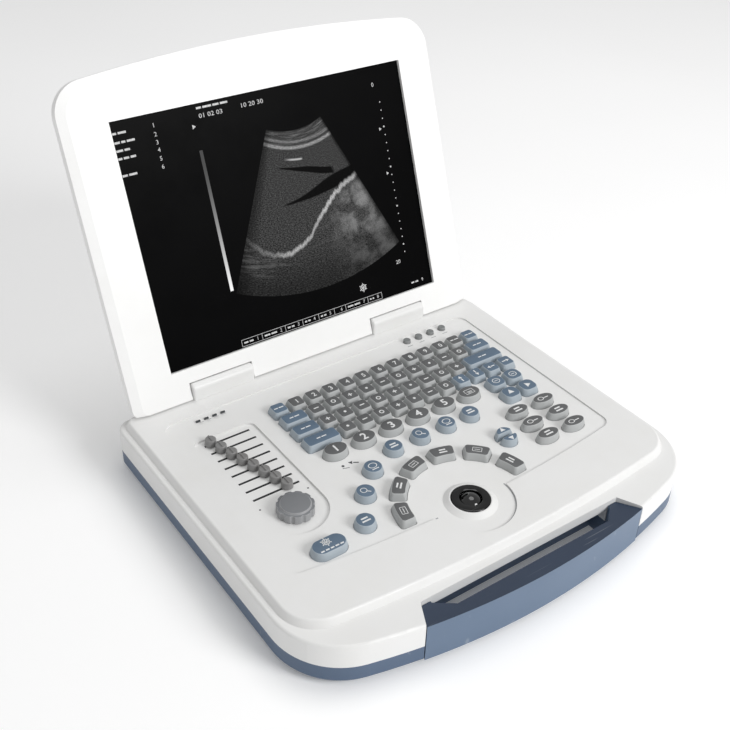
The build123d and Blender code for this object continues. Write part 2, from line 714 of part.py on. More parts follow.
def handle_lug(hand, grow=0.0):
    near, far = sorted((hand * 78.5, hand * 83.0))
    back = behind(POCKET_BACK) + 7.0
    return block(near - grow, far + grow, back - 9.0, back, 7.0 - grow, 14.0 + grow)


def carry_handle():
    """Grip across the front: a bar in front of the finger space, held by two end blocks."""
    handle = prism(plan(RIM, 0.0) & pocket(), FEET_TOP + 1.0, RIM_Z - 0.4)
    grip_cut = make_face(Polyline(
        (-GRIP_HALF, behind(FINGER_BACK)),
        (-GRIP_HALF, behind(POCKET_BACK + 1.5)),
        (-GRIP_HALF + 12.0, behind(GRIP_BACK)),
        (GRIP_HALF - 12.0, behind(GRIP_BACK)),
        (GRIP_HALF, behind(POCKET_BACK + 1.5)),
        (GRIP_HALF, behind(FINGER_BACK)),
        close=True,
    ))
    handle = handle - prism(grip_cut, 0, DECK_Z)
    slope = Location((0, behind(RIM["front"]), RIM_Z - 0.4), (-7, 0, 0))
    handle = handle - slope * Pos(0, 25, 10) * Box(260, 80, 20)
    for hand in (-1, 1):
        handle = handle + handle_lug(hand)
    return handle


# ---- sockets ----
def rear_openings():
    """Holes in the back wall for the power inlet and the two ports."""
    y = behind(RIM["back"])
    holes = [Pos(PORT_XS[0], y, PORT_Z) * Rot(90, 0, 0) * Cylinder(5.2, 12)]
    holes.append(Pos(PORT_XS[1], y, PORT_Z) * Box(19, 12, 11))
    holes.append(Pos(PORT_XS[2], y, PORT_Z) * Box(14, 12, 7))
    return holes


def side_openings():
    holes = []
    for ahead in PROBE_AHEADS:
        holes.append(Pos(RIM["half"], behind(ahead), PORT_Z) * Box(14, 56, 16))
    return holes


def probe_socket(ahead):
    """Wide multi-pin socket with a keyed shell, set into the right side wall."""
    x = RIM["half"]
    socket = block(x - 16, x - 1.2, behind(ahead) - 27.6, behind(ahead) + 27.6, 12.3, 27.7)
    mouth = block(x - 6, x, behind(ahead) - 22, behind(ahead) + 22, 15.5, 24.5)
    return socket - mouth


def rear_ports():
    y = behind(RIM["back"])
    inlet = Pos(PORT_XS[0], y - 5.5, PORT_Z) * Rot(90, 0, 0) * Cylinder(5.0, 9.0)
    inlet = inlet - Pos(PORT_XS[0], y - 3.0, PORT_Z) * Rot(90, 0, 0) * Cylinder(3.0, 6.0)
    inlet = inlet + Pos(PORT_XS[0], y - 5.0, PORT_Z) * Rot(90, 0, 0) * Cylinder(1.0, 7.0)
    video = Pos(PORT_XS[1], y - 6.0, PORT_Z) * Box(18.6, 10, 10.6)
    video = video - Pos(PORT_XS[1], y - 2.5, PORT_Z) * Box(16.4, 5, 8.2)
    usb = Pos(PORT_XS[2], y - 6.0, PORT_Z) * Box(13.6, 10, 6.6)
    usb = usb - Pos(PORT_XS[2], y - 2.5, PORT_Z) * Box(12.2, 5, 5.2)
    return [inlet, video, usb]


# ---- boards, battery, feet ----
def keypad_board():
    """Board under all the keys, cut clear of the trackball and the slide controls."""
    top, low = 31.8, 30.4
    board = block(-83, 131, behind(193), behind(15), low, top)
    board = board + block(-128, -82, behind(197), behind(170), low, top)
    board = board + block(-119, -82, behind(38), behind(18), low, top)
    for x, y in SCREW_PLACES:
        board = board - Pos(x, y, 31) * Cylinder(6, 6)
    return board - at_ball(Pos(0, 0, 31) * Box(36, 36, 8))


def main_board():
    board = block(-150, 150, -100, 70, 9.0, 10.6)
    chips = [(-60, -10, 30), (0, 0, 24), (60, -20, 36), (100, 40, 20), (-110, 30, 24)]
    for x, y, size in chips:
        board = board + Pos(x, y, 11.5) * Box(size, size, 2.2)
    for x, y in SCREW_PLACES:
        board = board - Pos(x, y, 10) * Cylinder(5, 6)
    return board


def power_board():
    board = block(-60, -10, 42, 74, 14.0, 15.6)
    return board + block(-55, -35, 48, 68, 15.6, 24.0) + block(-28, -14, 48, 62, 15.6, 22.0)


def battery_pack():
    pack = block(20, 130, -90, -30, 13.2, 27.0)
    return fillet(pack.edges().filter_by(Axis.X), 3.0)


def rubber_feet():
    feet = []
    for x, ahead in FOOT_PLACES:
        feet.append(Pos(x, behind(ahead), FEET_TOP / 2) * Cone(FOOT_R - 1.0, FOOT_R, FEET_TOP))
    return feet


def lid_nodes():
    nodes = {
        "lid_bezel": lid_bezel(),
        "lid_rear_cover": lid_rear_cover(),
        "lcd_panel": lcd_panel(),
        "screen_window": screen_window(),
        "lid_screws": lid_screws(),
        "hinge_arms": [hinge_arm(-1), hinge_arm(1)],
    }
    return {name: moved(shape) for name, shape in nodes.items()}


def moved(shape):
    if isinstance(shape, list):
        return [LID_PLACE * piece for piece in shape]
    return LID_PLACE * shape


def base_nodes():
    return {
        "top_housing": top_housing(),
        "bottom_housing": bottom_housing(),
        "carry_handle": carry_handle(),
        "main_board": main_board(),
        "power_board": power_board(),
        "keypad_board": keypad_board(),
        "battery_pack": battery_pack(),
        "hinge_brackets": [hinge_bracket(-1), hinge_bracket(1)],
        "hinge_pins": [hinge_pin(-1), hinge_pin(1)],
        "slide_switches": slide_switches(),
        "gain_encoder": gain_encoder(),
        "trackball_cup": trackball_cup(),
        "trackball_ring": trackball_ring(),
        "status_lights": status_lights(),
        "probe_socket_1": probe_socket(PROBE_AHEADS[0]),
        "probe_socket_2": probe_socket(PROBE_AHEADS[1]),
        "rear_ports": rear_ports(),
        "base_screws": base_screws(),
        "rubber_feet": rubber_feet(),
    }


def control_nodes():
    nodes = {f"tgc_knob_{i + 1}": slider_knob(i) for i in range(SLIDER_COUNT)}
    nodes["gain_knob"] = gain_knob()
    nodes["trackball"] = trackball()
    nodes["trackball_roller"] = trackball_roller(0)
    nodes["trackball_side_roller"] = trackball_roller(90)
    nodes["top_buttons"] = top_buttons()
    nodes.update(key_nodes())
    return nodes


def write(name, shape):
    pieces = shape if isinstance(shape, list) else [shape]
    solids = []
    for piece in pieces:
        solids += list(piece.solids())
    body = solids[0] if len(solids) == 1 else Compound(children=solids)
    export_step(body, f"parts/{name}.step")


os.makedirs("parts", exist_ok=True)
ALL_NODES = {**base_nodes(), **lid_nodes(), **control_nodes()}
for node_name, node_shape in ALL_NODES.items():
    write(node_name, node_shape)
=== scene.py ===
# %% [markdown]
# # A laptop-style ultrasound scanner
# The machine is a white clamshell: a base with a rubber keyboard, slide controls, a knob and a
# trackball, and a lid with a screen. The shells come from the CAD model, which fixes every size.
# Here each shell gets its finish, the controls get soft edges and printed marks, and the screen
# gets its picture.

# %% Load the frame
import json
import math

import bpy
from mathutils import Matrix, Vector

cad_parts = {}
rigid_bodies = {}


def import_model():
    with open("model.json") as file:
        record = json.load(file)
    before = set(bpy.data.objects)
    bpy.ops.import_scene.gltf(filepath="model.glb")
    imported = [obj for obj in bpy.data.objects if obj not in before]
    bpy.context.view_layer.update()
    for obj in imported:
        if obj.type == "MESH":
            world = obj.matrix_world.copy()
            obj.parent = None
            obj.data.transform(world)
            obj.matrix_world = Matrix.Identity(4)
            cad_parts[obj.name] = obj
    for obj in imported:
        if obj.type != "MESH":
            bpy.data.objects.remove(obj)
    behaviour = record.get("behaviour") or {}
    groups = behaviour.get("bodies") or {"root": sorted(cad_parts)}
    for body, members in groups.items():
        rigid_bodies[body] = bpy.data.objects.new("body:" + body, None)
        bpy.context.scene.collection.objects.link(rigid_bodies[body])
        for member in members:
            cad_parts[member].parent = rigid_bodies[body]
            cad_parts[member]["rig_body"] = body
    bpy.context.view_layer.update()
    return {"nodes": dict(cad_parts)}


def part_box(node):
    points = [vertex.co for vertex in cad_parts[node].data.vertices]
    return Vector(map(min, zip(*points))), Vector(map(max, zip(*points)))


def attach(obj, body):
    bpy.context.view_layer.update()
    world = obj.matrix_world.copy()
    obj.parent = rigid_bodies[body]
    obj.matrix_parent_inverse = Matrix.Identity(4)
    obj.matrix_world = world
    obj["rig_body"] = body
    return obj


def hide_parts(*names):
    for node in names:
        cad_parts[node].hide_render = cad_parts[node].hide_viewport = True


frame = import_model()
nodes = frame["nodes"]
MM = 0.001
print("CAD nodes:", len(nodes))

# %% [markdown]
# ## Working one piece at a time
# Blender's operators act on whatever is selected, so every step first lets go of everything and
# then takes up one piece. These helpers do that, and put a finished piece's place in its mesh.


# %% Helpers for selecting and placing
def let_go():
    if bpy.context.object and bpy.context.object.mode != "OBJECT":
        bpy.ops.object.mode_set(mode="OBJECT")
    bpy.ops.object.select_all(action="DESELECT")


def take_up(*pieces):
    let_go()
    for piece in pieces:
        piece.select_set(True)
    bpy.context.view_layer.objects.active = pieces[0]


def edit_all(piece):
    take_up(piece)
    bpy.ops.object.mode_set(mode="EDIT")
    bpy.ops.mesh.select_all(action="SELECT")


def set_in_place(piece):
    take_up(piece)
    bpy.ops.object.transform_apply(location=True, rotation=True, scale=True)
    return piece


def join_as(pieces, name):
    take_up(*pieces)
    if len(pieces) > 1:
        bpy.ops.object.join()
    joined = bpy.context.object
    joined.name = name
    joined.data.name = name
    return set_in_place(joined)


let_go()

# %% [markdown]
# ## Shared surface effects
# Moulded plastic is never perfectly even: it has a fine texture from the mould, slight cloudiness
# in the colour, and patches that hands have polished. One node group makes those three effects for
# every plastic and rubber here, and each material sets its own amounts.


# %% The moulded skin group
def group_with(name, inputs, outputs):
    group = bpy.data.node_groups.new(name, "ShaderNodeTree")
    for label, kind, value in inputs:
        socket = group.interface.new_socket(name=label, in_out="INPUT", socket_type=kind)
        socket.default_value = value
    for label, kind in outputs:
        group.interface.new_socket(name=label, in_out="OUTPUT", socket_type=kind)
    return group, group.nodes.new("NodeGroupInput"), group.nodes.new("NodeGroupOutput")


def add(tree, kind, **settings):
    node = tree.nodes.new(kind)
    for key, value in settings.items():
        setattr(node, key, value)
    return node


def noise(tree, place, scale, detail=2.0, roughness=0.5):
    node = add(tree, "ShaderNodeTexNoise")
    tree.links.new(place, node.inputs["Vector"])
    node.inputs["Detail"].default_value = detail
    node.inputs["Roughness"].default_value = roughness
    if isinstance(scale, (int, float)):
        node.inputs["Scale"].default_value = scale
    else:
        tree.links.new(scale, node.inputs["Scale"])
    return node.outputs["Fac"]


def calc(tree, operation, a, b=None, c=None, clamp=False):
    node = add(tree, "ShaderNodeMath", operation=operation, use_clamp=clamp)
    for socket, value in zip(node.inputs, (a, b, c)):
        if value is None:
            continue
        if isinstance(value, (int, float)):
            socket.default_value = value
        else:
            tree.links.new(value, socket)
    return node.outputs[0]


def ramp(tree, value, low, high, out_low=0.0, out_high=1.0):
    node = add(tree, "ShaderNodeMapRange", interpolation_type="SMOOTHSTEP")
    tree.links.new(value, node.inputs["Value"])
    for label, number in zip(("From Min", "From Max", "To Min", "To Max"), (low, high, out_low, out_high)):
        if isinstance(number, (int, float)):
            node.inputs[label].default_value = number
        else:
            tree.links.new(number, node.inputs[label])
    return node.outputs["Result"]


def mix_colour(tree, factor, a, b, blend="MIX"):
    node = add(tree, "ShaderNodeMix", data_type="RGBA", blend_type=blend)
    for label, value in (("Factor", factor), ("A", a), ("B", b)):
        socket = [s for s in node.inputs if s.name == label and s.enabled][0]
        if isinstance(value, (int, float)):
            socket.default_value = value
        elif isinstance(value, tuple):
            socket.default_value = (*value, 1.0)
        else:
            tree.links.new(value, socket)
    return [s for s in node.outputs if s.enabled][0]


skin, skin_in, skin_out = group_with(
    "moulded_skin",
    [
        ("Tone", "NodeSocketColor", (0.8, 0.8, 0.8, 1.0)),
        ("Soil", "NodeSocketColor", (0.5, 0.48, 0.44, 1.0)),
        ("Cloudiness", "NodeSocketFloat", 0.1),
        ("Grain", "NodeSocketFloat", 1400.0),
        ("Dull", "NodeSocketFloat", 0.5),
        ("Polished", "NodeSocketFloat", 0.35),
    ],
    [("Color", "NodeSocketColor"), ("Roughness", "NodeSocketFloat"), ("Height", "NodeSocketFloat")],
)
place = add(skin, "ShaderNodeTexCoord").outputs["Object"]
cloud = ramp(skin, noise(skin, place, 26.0, 4.0, 0.6), 0.35, 0.75)
soil = calc(skin, "MULTIPLY", cloud, skin_in.outputs["Cloudiness"])
soiled = mix_colour(skin, soil, skin_in.outputs["Tone"], skin_in.outputs["Soil"])
skin.links.new(soiled, skin_out.inputs["Color"])
touch = ramp(skin, noise(skin, place, 11.0, 3.0), 0.3, 0.7,
             skin_in.outputs["Dull"], skin_in.outputs["Polished"])
skin.links.new(touch, skin_out.inputs["Roughness"])
skin.links.new(noise(skin, place, skin_in.outputs["Grain"], 2.0), skin_out.inputs["Height"])
print("moulded_skin has", len(skin.nodes), "nodes")

# %% [markdown]
# ## Fine scratches
# Dark shiny parts show handling first, as short pale hairlines. A very stretched noise cut off
# near its top gives them without drawing any single scratch.

# %% The hairline scratch group
scratch, scratch_in, scratch_out = group_with(
    "hairline_scratches",
    [("Amount", "NodeSocketFloat", 0.3)],
    [("Mask", "NodeSocketFloat")],
)
scratch_place = add(scratch, "ShaderNodeTexCoord").outputs["Object"]
marks = []
for turn, stretch in ((0.4, (18.0, 900.0, 60.0)), (1.9, (26.0, 1200.0, 80.0))):
    mapping = add(scratch, "ShaderNodeMapping")
    mapping.inputs["Rotation"].default_value = (0.0, 0.0, turn)
    mapping.inputs["Scale"].default_value = stretch
    scratch.links.new(scratch_place, mapping.inputs["Vector"])
    marks.append(ramp(scratch, noise(scratch, mapping.outputs["Vector"], 1.0, 1.0), 0.72, 0.8))
both = calc(scratch, "MAXIMUM", marks[0], marks[1])
scratch.links.new(calc(scratch, "MULTIPLY", both, scratch_in.outputs["Amount"]), scratch_out.inputs["Mask"])

# %% [markdown]
# ## One recipe for moulded finishes
# Every shell, key and knob uses the same recipe: the skin group drives colour, roughness and a
# small bump. Keys have a dark printed top on a paler skirt, so the recipe can take a second tone
# for faces that look up, read from the surface's own direction. On the handle that second tone is
# painted shade: its top is darkened for how the light falls on it.


# %% Make a moulded finish
def rgb(code):
    """Colour code to the linear values that shaders use."""
    values = [int(code[i:i + 2], 16) / 255 for i in (0, 2, 4)]
    return tuple(v / 12.92 if v <= 0.04045 else ((v + 0.055) / 1.055) ** 2.4 for v in values)


def blank_material(name):
    material = bpy.data.materials.new(name)
    material.use_nodes = True
    tree = material.node_tree
    shader = tree.nodes["Principled BSDF"]
    return material, tree, shader


def bump_into(tree, shader, height, strength, distance):
    bump = add(tree, "ShaderNodeBump")
    bump.inputs["Strength"].default_value = strength
    bump.inputs["Distance"].default_value = distance
    tree.links.new(height, bump.inputs["Height"])
    tree.links.new(bump.outputs["Normal"], shader.inputs["Normal"])


def facing_up(tree, low=0.93, high=0.98):
    """1 where the surface looks straight up at rest, 0 on its sides."""
    split = add(tree, "ShaderNodeSeparateXYZ")
    tree.links.new(add(tree, "ShaderNodeTexCoord").outputs["Normal"], split.inputs[0])
    return ramp(tree, split.outputs["Z"], low, high)


def moulded(name, tone, soil=None, top=None, cloud=0.12, grain=1400.0, dull=0.5, polished=0.38,
            bump=0.12, scratches=0.0, coat=0.0):
    material, tree, shader = blank_material(name)
    skin_node = add(tree, "ShaderNodeGroup", node_tree=skin)
    base = rgb(tone)
    skin_node.inputs["Tone"].default_value = (*base, 1.0)
    skin_node.inputs["Soil"].default_value = (*(rgb(soil) if soil else [v * 0.72 for v in base]), 1.0)
    skin_node.inputs["Cloudiness"].default_value = cloud
    skin_node.inputs["Grain"].default_value = grain
    skin_node.inputs["Dull"].default_value = dull
    skin_node.inputs["Polished"].default_value = polished
    colour = skin_node.outputs["Color"]
    if top:
        print_and_painted_shade_node = add(tree, "ShaderNodeGroup", node_tree=skin)
        print_and_painted_shade_node.inputs["Tone"].default_value = (*rgb(top), 1.0)
        print_and_painted_shade_node.inputs["Soil"].default_value = (*[v * 1.25 for v in rgb(top)], 1.0)
        print_and_painted_shade_node.inputs["Cloudiness"].default_value = 0.35
        colour = mix_colour(tree, facing_up(tree), colour, print_and_painted_shade_node.outputs["Color"])
    if scratches:
        scratch_node = add(tree, "ShaderNodeGroup", node_tree=scratch)
        scratch_node.inputs["Amount"].default_value = scratches
        colour = mix_colour(tree, scratch_node.outputs["Mask"], colour, (0.75, 0.78, 0.8))
    tree.links.new(colour, shader.inputs["Base Color"])
    tree.links.new(skin_node.outputs["Roughness"], shader.inputs["Roughness"])
    bump_into(tree, shader, skin_node.outputs["Height"], bump, 0.0002)
    if coat:
        shader.inputs["Coat Weight"].default_value = coat
    return material


# %% [markdown]
# ## The finishes of this machine
# White for the shells, a blue-grey for the lower shell and the handle, greys and blues for the
# rubber keys, and gloss black for the trackball and its ring.

# %% Plastics and rubbers
white_shell = moulded("white_shell", "e6e6e5", soil="cfcbc2", cloud=0.10, dull=0.46, polished=0.34)
white_lid = moulded("white_lid", "f3f3f2", soil="d8d5cd", cloud=0.08, dull=0.44, polished=0.33)
blue_grey_shell = moulded("blue_grey_shell", "4f627b", cloud=0.15, dull=0.5, polished=0.4, scratches=0.12)
# The handle's darker top tone is painted shade, for how the light falls on its upward faces.
handle_plastic = moulded("handle_plastic", "5e7189", top="27354a", cloud=0.12, dull=0.46, polished=0.34,
                         scratches=0.15)
grey_key = moulded("grey_key", "b0b2b2", top="5a5b5c", cloud=0.2, dull=0.62, polished=0.5, bump=0.2)
blue_key = moulded("blue_key", "a6b0b8", top="586b7e", cloud=0.2, dull=0.62, polished=0.5, bump=0.2)
button_rubber = moulded("button_rubber", "8b8d8d", top="757878", cloud=0.2, dull=0.62, polished=0.5,
                        bump=0.2)
slider_plastic = moulded("slider_plastic", "858585", soil="74706d", cloud=0.5, dull=0.4, polished=0.28)
knob_plastic = moulded("knob_plastic", "9a9b9d", top="77797c", cloud=0.25, dull=0.42, polished=0.3)
black_gloss = moulded("black_gloss", "030304", cloud=0.3, dull=0.16, polished=0.06, bump=0.01,
                     scratches=0.05)
ball_gloss = moulded("ball_gloss", "060607", cloud=0.3, dull=0.1, polished=0.04, bump=0.01, coat=0.6)
black_mould = moulded("black_mould", "1b1c1e", cloud=0.4, dull=0.6, polished=0.42, bump=0.3)
foot_rubber = moulded("foot_rubber", "191919", soil="4a4744", cloud=0.5, grain=2600.0, dull=0.85,
                      polished=0.7, bump=0.5)
connector_black = moulded("connector_black", "26272a", cloud=0.3, dull=0.55, polished=0.4)
battery_wrap = moulded("battery_wrap", "2b2e33", soil="50545a", cloud=0.4, grain=600.0, dull=0.35,
                       polished=0.2)
light_lens = moulded("light_lens", "3a3d40", cloud=0.3, dull=0.15, polished=0.08, bump=0.02, coat=0.5)

# %% [markdown]
# ## Metal and circuit boards
# Brackets and screws are zinc-plated steel, brushed along one way. The boards inside carry copper
# tracks under green lacquer, which a brick pattern cut by noise stands for well.


# %% Metals
def brushed(name, tone, rough_low, rough_high):
    material, tree, shader = blank_material(name)
    mapping = add(tree, "ShaderNodeMapping")
    mapping.inputs["Scale"].default_value = (40.0, 1800.0, 1800.0)
    tree.links.new(add(tree, "ShaderNodeTexCoord").outputs["Object"], mapping.inputs["Vector"])
    streaks = noise(tree, mapping.outputs["Vector"], 1.0, 3.0)
    dark = tuple(v * 0.7 for v in rgb(tone))
    tree.links.new(mix_colour(tree, streaks, dark, rgb(tone)), shader.inputs["Base Color"])
    tree.links.new(ramp(tree, streaks, 0.3, 0.7, rough_low, rough_high), shader.inputs["Roughness"])
    shader.inputs["Metallic"].default_value = 1.0
    bump_into(tree, shader, streaks, 0.15, 0.0001)
    return material


steel = brushed("plated_steel", "b9bbbd", 0.25, 0.45)
screw_steel = brushed("screw_steel", "9c9ea0", 0.3, 0.5)
roller_steel = brushed("roller_steel", "d0d2d4", 0.12, 0.25)

# %% Circuit board
board_lacquer, board_tree, board_shader = blank_material("board_lacquer")
board_place = add(board_tree, "ShaderNodeTexCoord").outputs["Object"]
tracks = add(board_tree, "ShaderNodeTexBrick")
tracks.inputs["Scale"].default_value = 160.0
tracks.inputs["Mortar Size"].default_value = 0.03
board_tree.links.new(board_place, tracks.inputs["Vector"])
tracks.inputs["Color1"].default_value = (*rgb("1d5a38"), 1.0)
tracks.inputs["Color2"].default_value = (*rgb("1a4f33"), 1.0)
tracks.inputs["Mortar"].default_value = (*rgb("3f8a58"), 1.0)
board_tree.links.new(tracks.outputs["Color"], board_shader.inputs["Base Color"])
board_tree.links.new(ramp(board_tree, noise(board_tree, board_place, 60.0), 0.3, 0.7, 0.25, 0.45),
                     board_shader.inputs["Roughness"])
bump_into(board_tree, board_shader, tracks.outputs["Fac"], 0.2, 0.0001)

# %% [markdown]
# ## Glass over the screen
# The screen's window is black and glossy when nothing is lit behind it, with a faint smear of
# finger grease that only shows in reflections.

# %% Screen glass
screen_glass, glass_tree, glass_shader = blank_material("screen_glass")
glass_place = add(glass_tree, "ShaderNodeTexCoord").outputs["Object"]
smear = noise(glass_tree, glass_place, 14.0, 5.0, 0.65)
glass_tree.links.new(mix_colour(glass_tree, smear, (0.0006, 0.0006, 0.0007), (0.0014, 0.0014, 0.0016)),
                     glass_shader.inputs["Base Color"])
glass_tree.links.new(ramp(glass_tree, smear, 0.4, 0.7, 0.35, 0.5), glass_shader.inputs["Roughness"])
glass_shader.inputs["Specular IOR Level"].default_value = 0.03
bump_into(glass_tree, glass_shader, smear, 0.02, 0.0002)

# %% [markdown]
# ## Dress the CAD nodes
# Each node keeps its shape and takes its finish here.


# %% Hand out the finishes
def dress(material, *names):
    for name in names:
        nodes[name].data.materials.clear()
        nodes[name].data.materials.append(material)


SLIDERS = [f"tgc_knob_{i}" for i in range(1, 9)]
ROWS = [f"key_row_{i}" for i in range(1, 5)]
MODE_KEYS = [f"mode_key_{i}" for i in range(1, 7)]
ARC_KEYS = [f"arc_key_{i}" for i in range(1, 7)]
BLUE_KEYS = ["round_keys", "step_keys", "up_key", "down_key", "freeze_key"]
GREY_KEYS = ROWS + MODE_KEYS + ARC_KEYS + ["oval_keys"]
dress(white_shell, "top_housing")
dress(white_lid, "lid_bezel", "lid_rear_cover")
dress(blue_grey_shell, "bottom_housing")
dress(handle_plastic, "carry_handle")
dress(grey_key, *GREY_KEYS)
dress(blue_key, *BLUE_KEYS)
dress(button_rubber, "top_buttons")
dress(slider_plastic, *SLIDERS)
dress(knob_plastic, "gain_knob")
dress(black_gloss, "trackball_ring")
dress(ball_gloss, "trackball")
dress(black_mould, "slide_switches", "gain_encoder", "trackball_cup", "lcd_panel")
dress(foot_rubber, "rubber_feet")
dress(connector_black, "probe_socket_1", "probe_socket_2", "rear_ports")
dress(battery_wrap, "battery_pack")
dress(light_lens, "status_lights")
dress(steel, "hinge_brackets", "hinge_arms")
dress(screw_steel, "hinge_pins", "base_screws", "lid_screws")
dress(roller_steel, "trackball_roller", "trackball_side_roller")
dress(board_lacquer, "main_board", "power_board", "keypad_board")
dress(screen_glass, "screen_window")
bare = [name for name in nodes if not nodes[name].data.materials]
print("nodes without a finish:", bare)

# %% [markdown]
# ## Soft edges
# A CAD solid has knife-sharp edges, and moulded rubber and plastic never do. A copy of the node's
# mesh is merged, its flat areas are cleared of needless edges, and a bevel rounds what is left.
# The copy then stands for the node.


# %% Make a softened copy of a node
def softened(name, radius, segments=2, angle=30.0):
    piece = bpy.data.objects.new(name + "_soft", nodes[name].data.copy())
    bpy.context.scene.collection.objects.link(piece)
    edit_all(piece)
    bpy.ops.mesh.customdata_custom_splitnormals_clear()
    bpy.ops.mesh.remove_doubles(threshold=0.000002)
    bpy.ops.mesh.dissolve_limited(angle_limit=math.radians(1.0))
    bpy.ops.object.mode_set(mode="OBJECT")
    bevel = piece.modifiers.new("round", "BEVEL")
    bevel.width = radius
    bevel.segments = segments
    bevel.limit_method = "ANGLE"
    bevel.angle_limit = math.radians(angle)
    bevel.harden_normals = False
    bpy.ops.object.modifier_apply(modifier=bevel.name)
    bpy.ops.object.shade_smooth_by_angle(angle=math.radians(35.0))
    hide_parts(name)
    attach(piece, nodes[name]["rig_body"])
    return piece


def soft_node(name, radius, segments=2, angle=30.0):
    piece = softened(name, radius, segments, angle)
    return piece


for key_name in GREY_KEYS + BLUE_KEYS:
    soft_node(key_name, 0.45 * MM)
soft_node("top_buttons", 0.3 * MM)
print("softened keys:", len(GREY_KEYS) + len(BLUE_KEYS))

# %% [markdown]
# ## Two colours in one row
# A keyboard row is one body, but its end keys are blue. After softening, every face of the row
# carries its place, so faces beyond a given X take the second material.

# %% Paint the blue keys in the rows
BLUE_SPANS = {
    "key_row_1": (-53.8, 112.7),
    "key_row_2": (-46.4, 105.5),
    "key_row_3": (-46.0, 90.6),
    "key_row_4": (-38.9, 66.5),
}
for row, (left_end, right_start) in BLUE_SPANS.items():
    row_mesh = bpy.data.objects[row + "_soft"].data
    row_mesh.materials.append(blue_key)
    for face in row_mesh.polygons:
        if face.center.x < left_end * MM or face.center.x > right_start * MM:
            face.material_index = 1

# %% [markdown]
# ## Rounded knobs and ring
# The slide caps, the gain knob and the trackball's ring are turned or moulded parts with generous
# edges, so they get a wider bevel. The ball is remade as a smooth sphere, because a ball shows
# every flat facet in its highlight.

# %% Soften the knobs
for slider in SLIDERS:
    soft_node(slider, 0.35 * MM, 3)
soft_node("gain_knob", 0.5 * MM, 3)
soft_node("trackball_ring", 0.25 * MM, 2, 40.0)

# %% Ball
ball_low, ball_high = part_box("trackball")
ball_centre = (ball_low + ball_high) / 2
let_go()
bpy.ops.mesh.primitive_ico_sphere_add(
    subdivisions=5, radius=(ball_high.z - ball_low.z) / 2, location=ball_centre)
ball = set_in_place(bpy.context.object)
ball.name = "rolling_ball"
bpy.ops.object.shade_smooth()
ball.data.materials.append(ball_gloss)
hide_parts("trackball")
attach(ball, "trackball")

# %% [markdown]
# ## Printed marks
# Legends are ink a few hundredths of a millimetre thick. Each one is a thin solid: letters come
# from a text object made into a mesh, and bars, arrows, rings and discs from primitives. All the
# marks on one body are joined, so that they move with it.

# %% Ink and the shapes it prints
INK = 0.03 * MM


def ink(name, tone, rough=0.55):
    material, tree, shader = blank_material(name)
    ink_place = add(tree, "ShaderNodeTexCoord").outputs["Object"]
    worn = ramp(tree, noise(tree, ink_place, 900.0, 3.0), 0.3, 0.75)
    pale = tuple(v * 0.8 for v in rgb(tone))
    tree.links.new(mix_colour(tree, worn, rgb(tone), pale), shader.inputs["Base Color"])
    tree.links.new(ramp(tree, worn, 0.0, 1.0, rough, rough + 0.15), shader.inputs["Roughness"])
    bump_into(tree, shader, worn, 0.1, 0.0001)
    return material


white_ink = ink("white_ink", "e9eaea")
# This grey is real print on the deck labels and painted shade in the line round the keypad's step.
grey_ink_and_painted_shade = ink("grey_ink_and_painted_shade", "a9abad")
dark_ink = ink("dark_ink", "4b4d50")


def letters(words, x, y, z, size, turn=0.0, stretch=1.0, bold=0.0):
    let_go()
    bpy.ops.object.text_add(location=(x * MM, y * MM, z * MM), rotation=(0.0, 0.0, math.radians(turn)))
    text = bpy.context.object
    text.data.body = words
    text.data.size = size * MM
    text.data.align_x = "CENTER"
    text.data.align_y = "CENTER"
    text.data.resolution_u = 2
    text.data.offset = bold * MM
    text.data.extrude = INK
    text.scale.x = stretch
    bpy.ops.object.convert(target="MESH")
    return bpy.context.object


def bar(x, y, z, width, height, turn=0.0):
    let_go()
    bpy.ops.mesh.primitive_cube_add(
        size=1.0, location=(x * MM, y * MM, z * MM), rotation=(0, 0, math.radians(turn)))
    shape = bpy.context.object
    shape.scale = (width * MM, height * MM, 2 * INK)
    return shape


def flat_round(sides, x, y, z, radius, turn=0.0, squash=1.0):
    let_go()
    bpy.ops.mesh.primitive_cylinder_add(
        vertices=sides, radius=radius * MM, depth=2 * INK,
        location=(x * MM, y * MM, z * MM), rotation=(0, 0, math.radians(turn)))
    shape = bpy.context.object
    shape.scale.x = squash
    return shape


def hoop(x, y, z, radius, thick=0.25, stretch=1.0):
    let_go()
    bpy.ops.mesh.primitive_torus_add(
        major_segments=24, minor_segments=6, major_radius=radius * MM, minor_radius=thick * MM,
        location=(x * MM, y * MM, z * MM))
    shape = bpy.context.object
    shape.scale = (stretch, 1.0, INK / (thick * MM))
    return shape


def arrow(x, y, z, length, turn=0.0):
    """A shaft and a head; unturned it points along +X."""
    lean = math.radians(turn)
    tip = length * 0.28
    head = flat_round(3, x + tip * math.cos(lean), y + tip * math.sin(lean), z, length * 0.3, turn - 90.0)
    shaft = bar(x - tip * math.cos(lean), y - tip * math.sin(lean), z, length * 0.6, length * 0.16, turn)
    return [head, shaft]


def snowflake(x, y, z, size):
    """Three crossing arms, with a short pair of twigs near each tip."""
    shapes = []
    for turn in (30.0, 90.0, 150.0):
        shapes.append(bar(x, y, z, size, size * 0.09, turn))
        for end in (-1, 1):
            reach = end * size * 0.3
            tip_x = x + reach * math.cos(math.radians(turn))
            tip_y = y + reach * math.sin(math.radians(turn))
            shapes.append(bar(tip_x, tip_y, z, size * 0.34, size * 0.08, turn + 90.0))
    return shapes


def print_on(body, name, shapes, material, matrix=None):
    piece = join_as(shapes, name)
    if matrix is not None:
        piece.matrix_world = matrix
        set_in_place(piece)
    piece.data.materials.clear()
    piece.data.materials.append(material)
    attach(piece, body)
    return piece


# %% [markdown]
# ## Where the keys are
# The marks need the middle of each key's top. Each key's top is flat and level, so the highest
# upward faces of the CAD mesh, gathered into islands by place, give every key's middle.


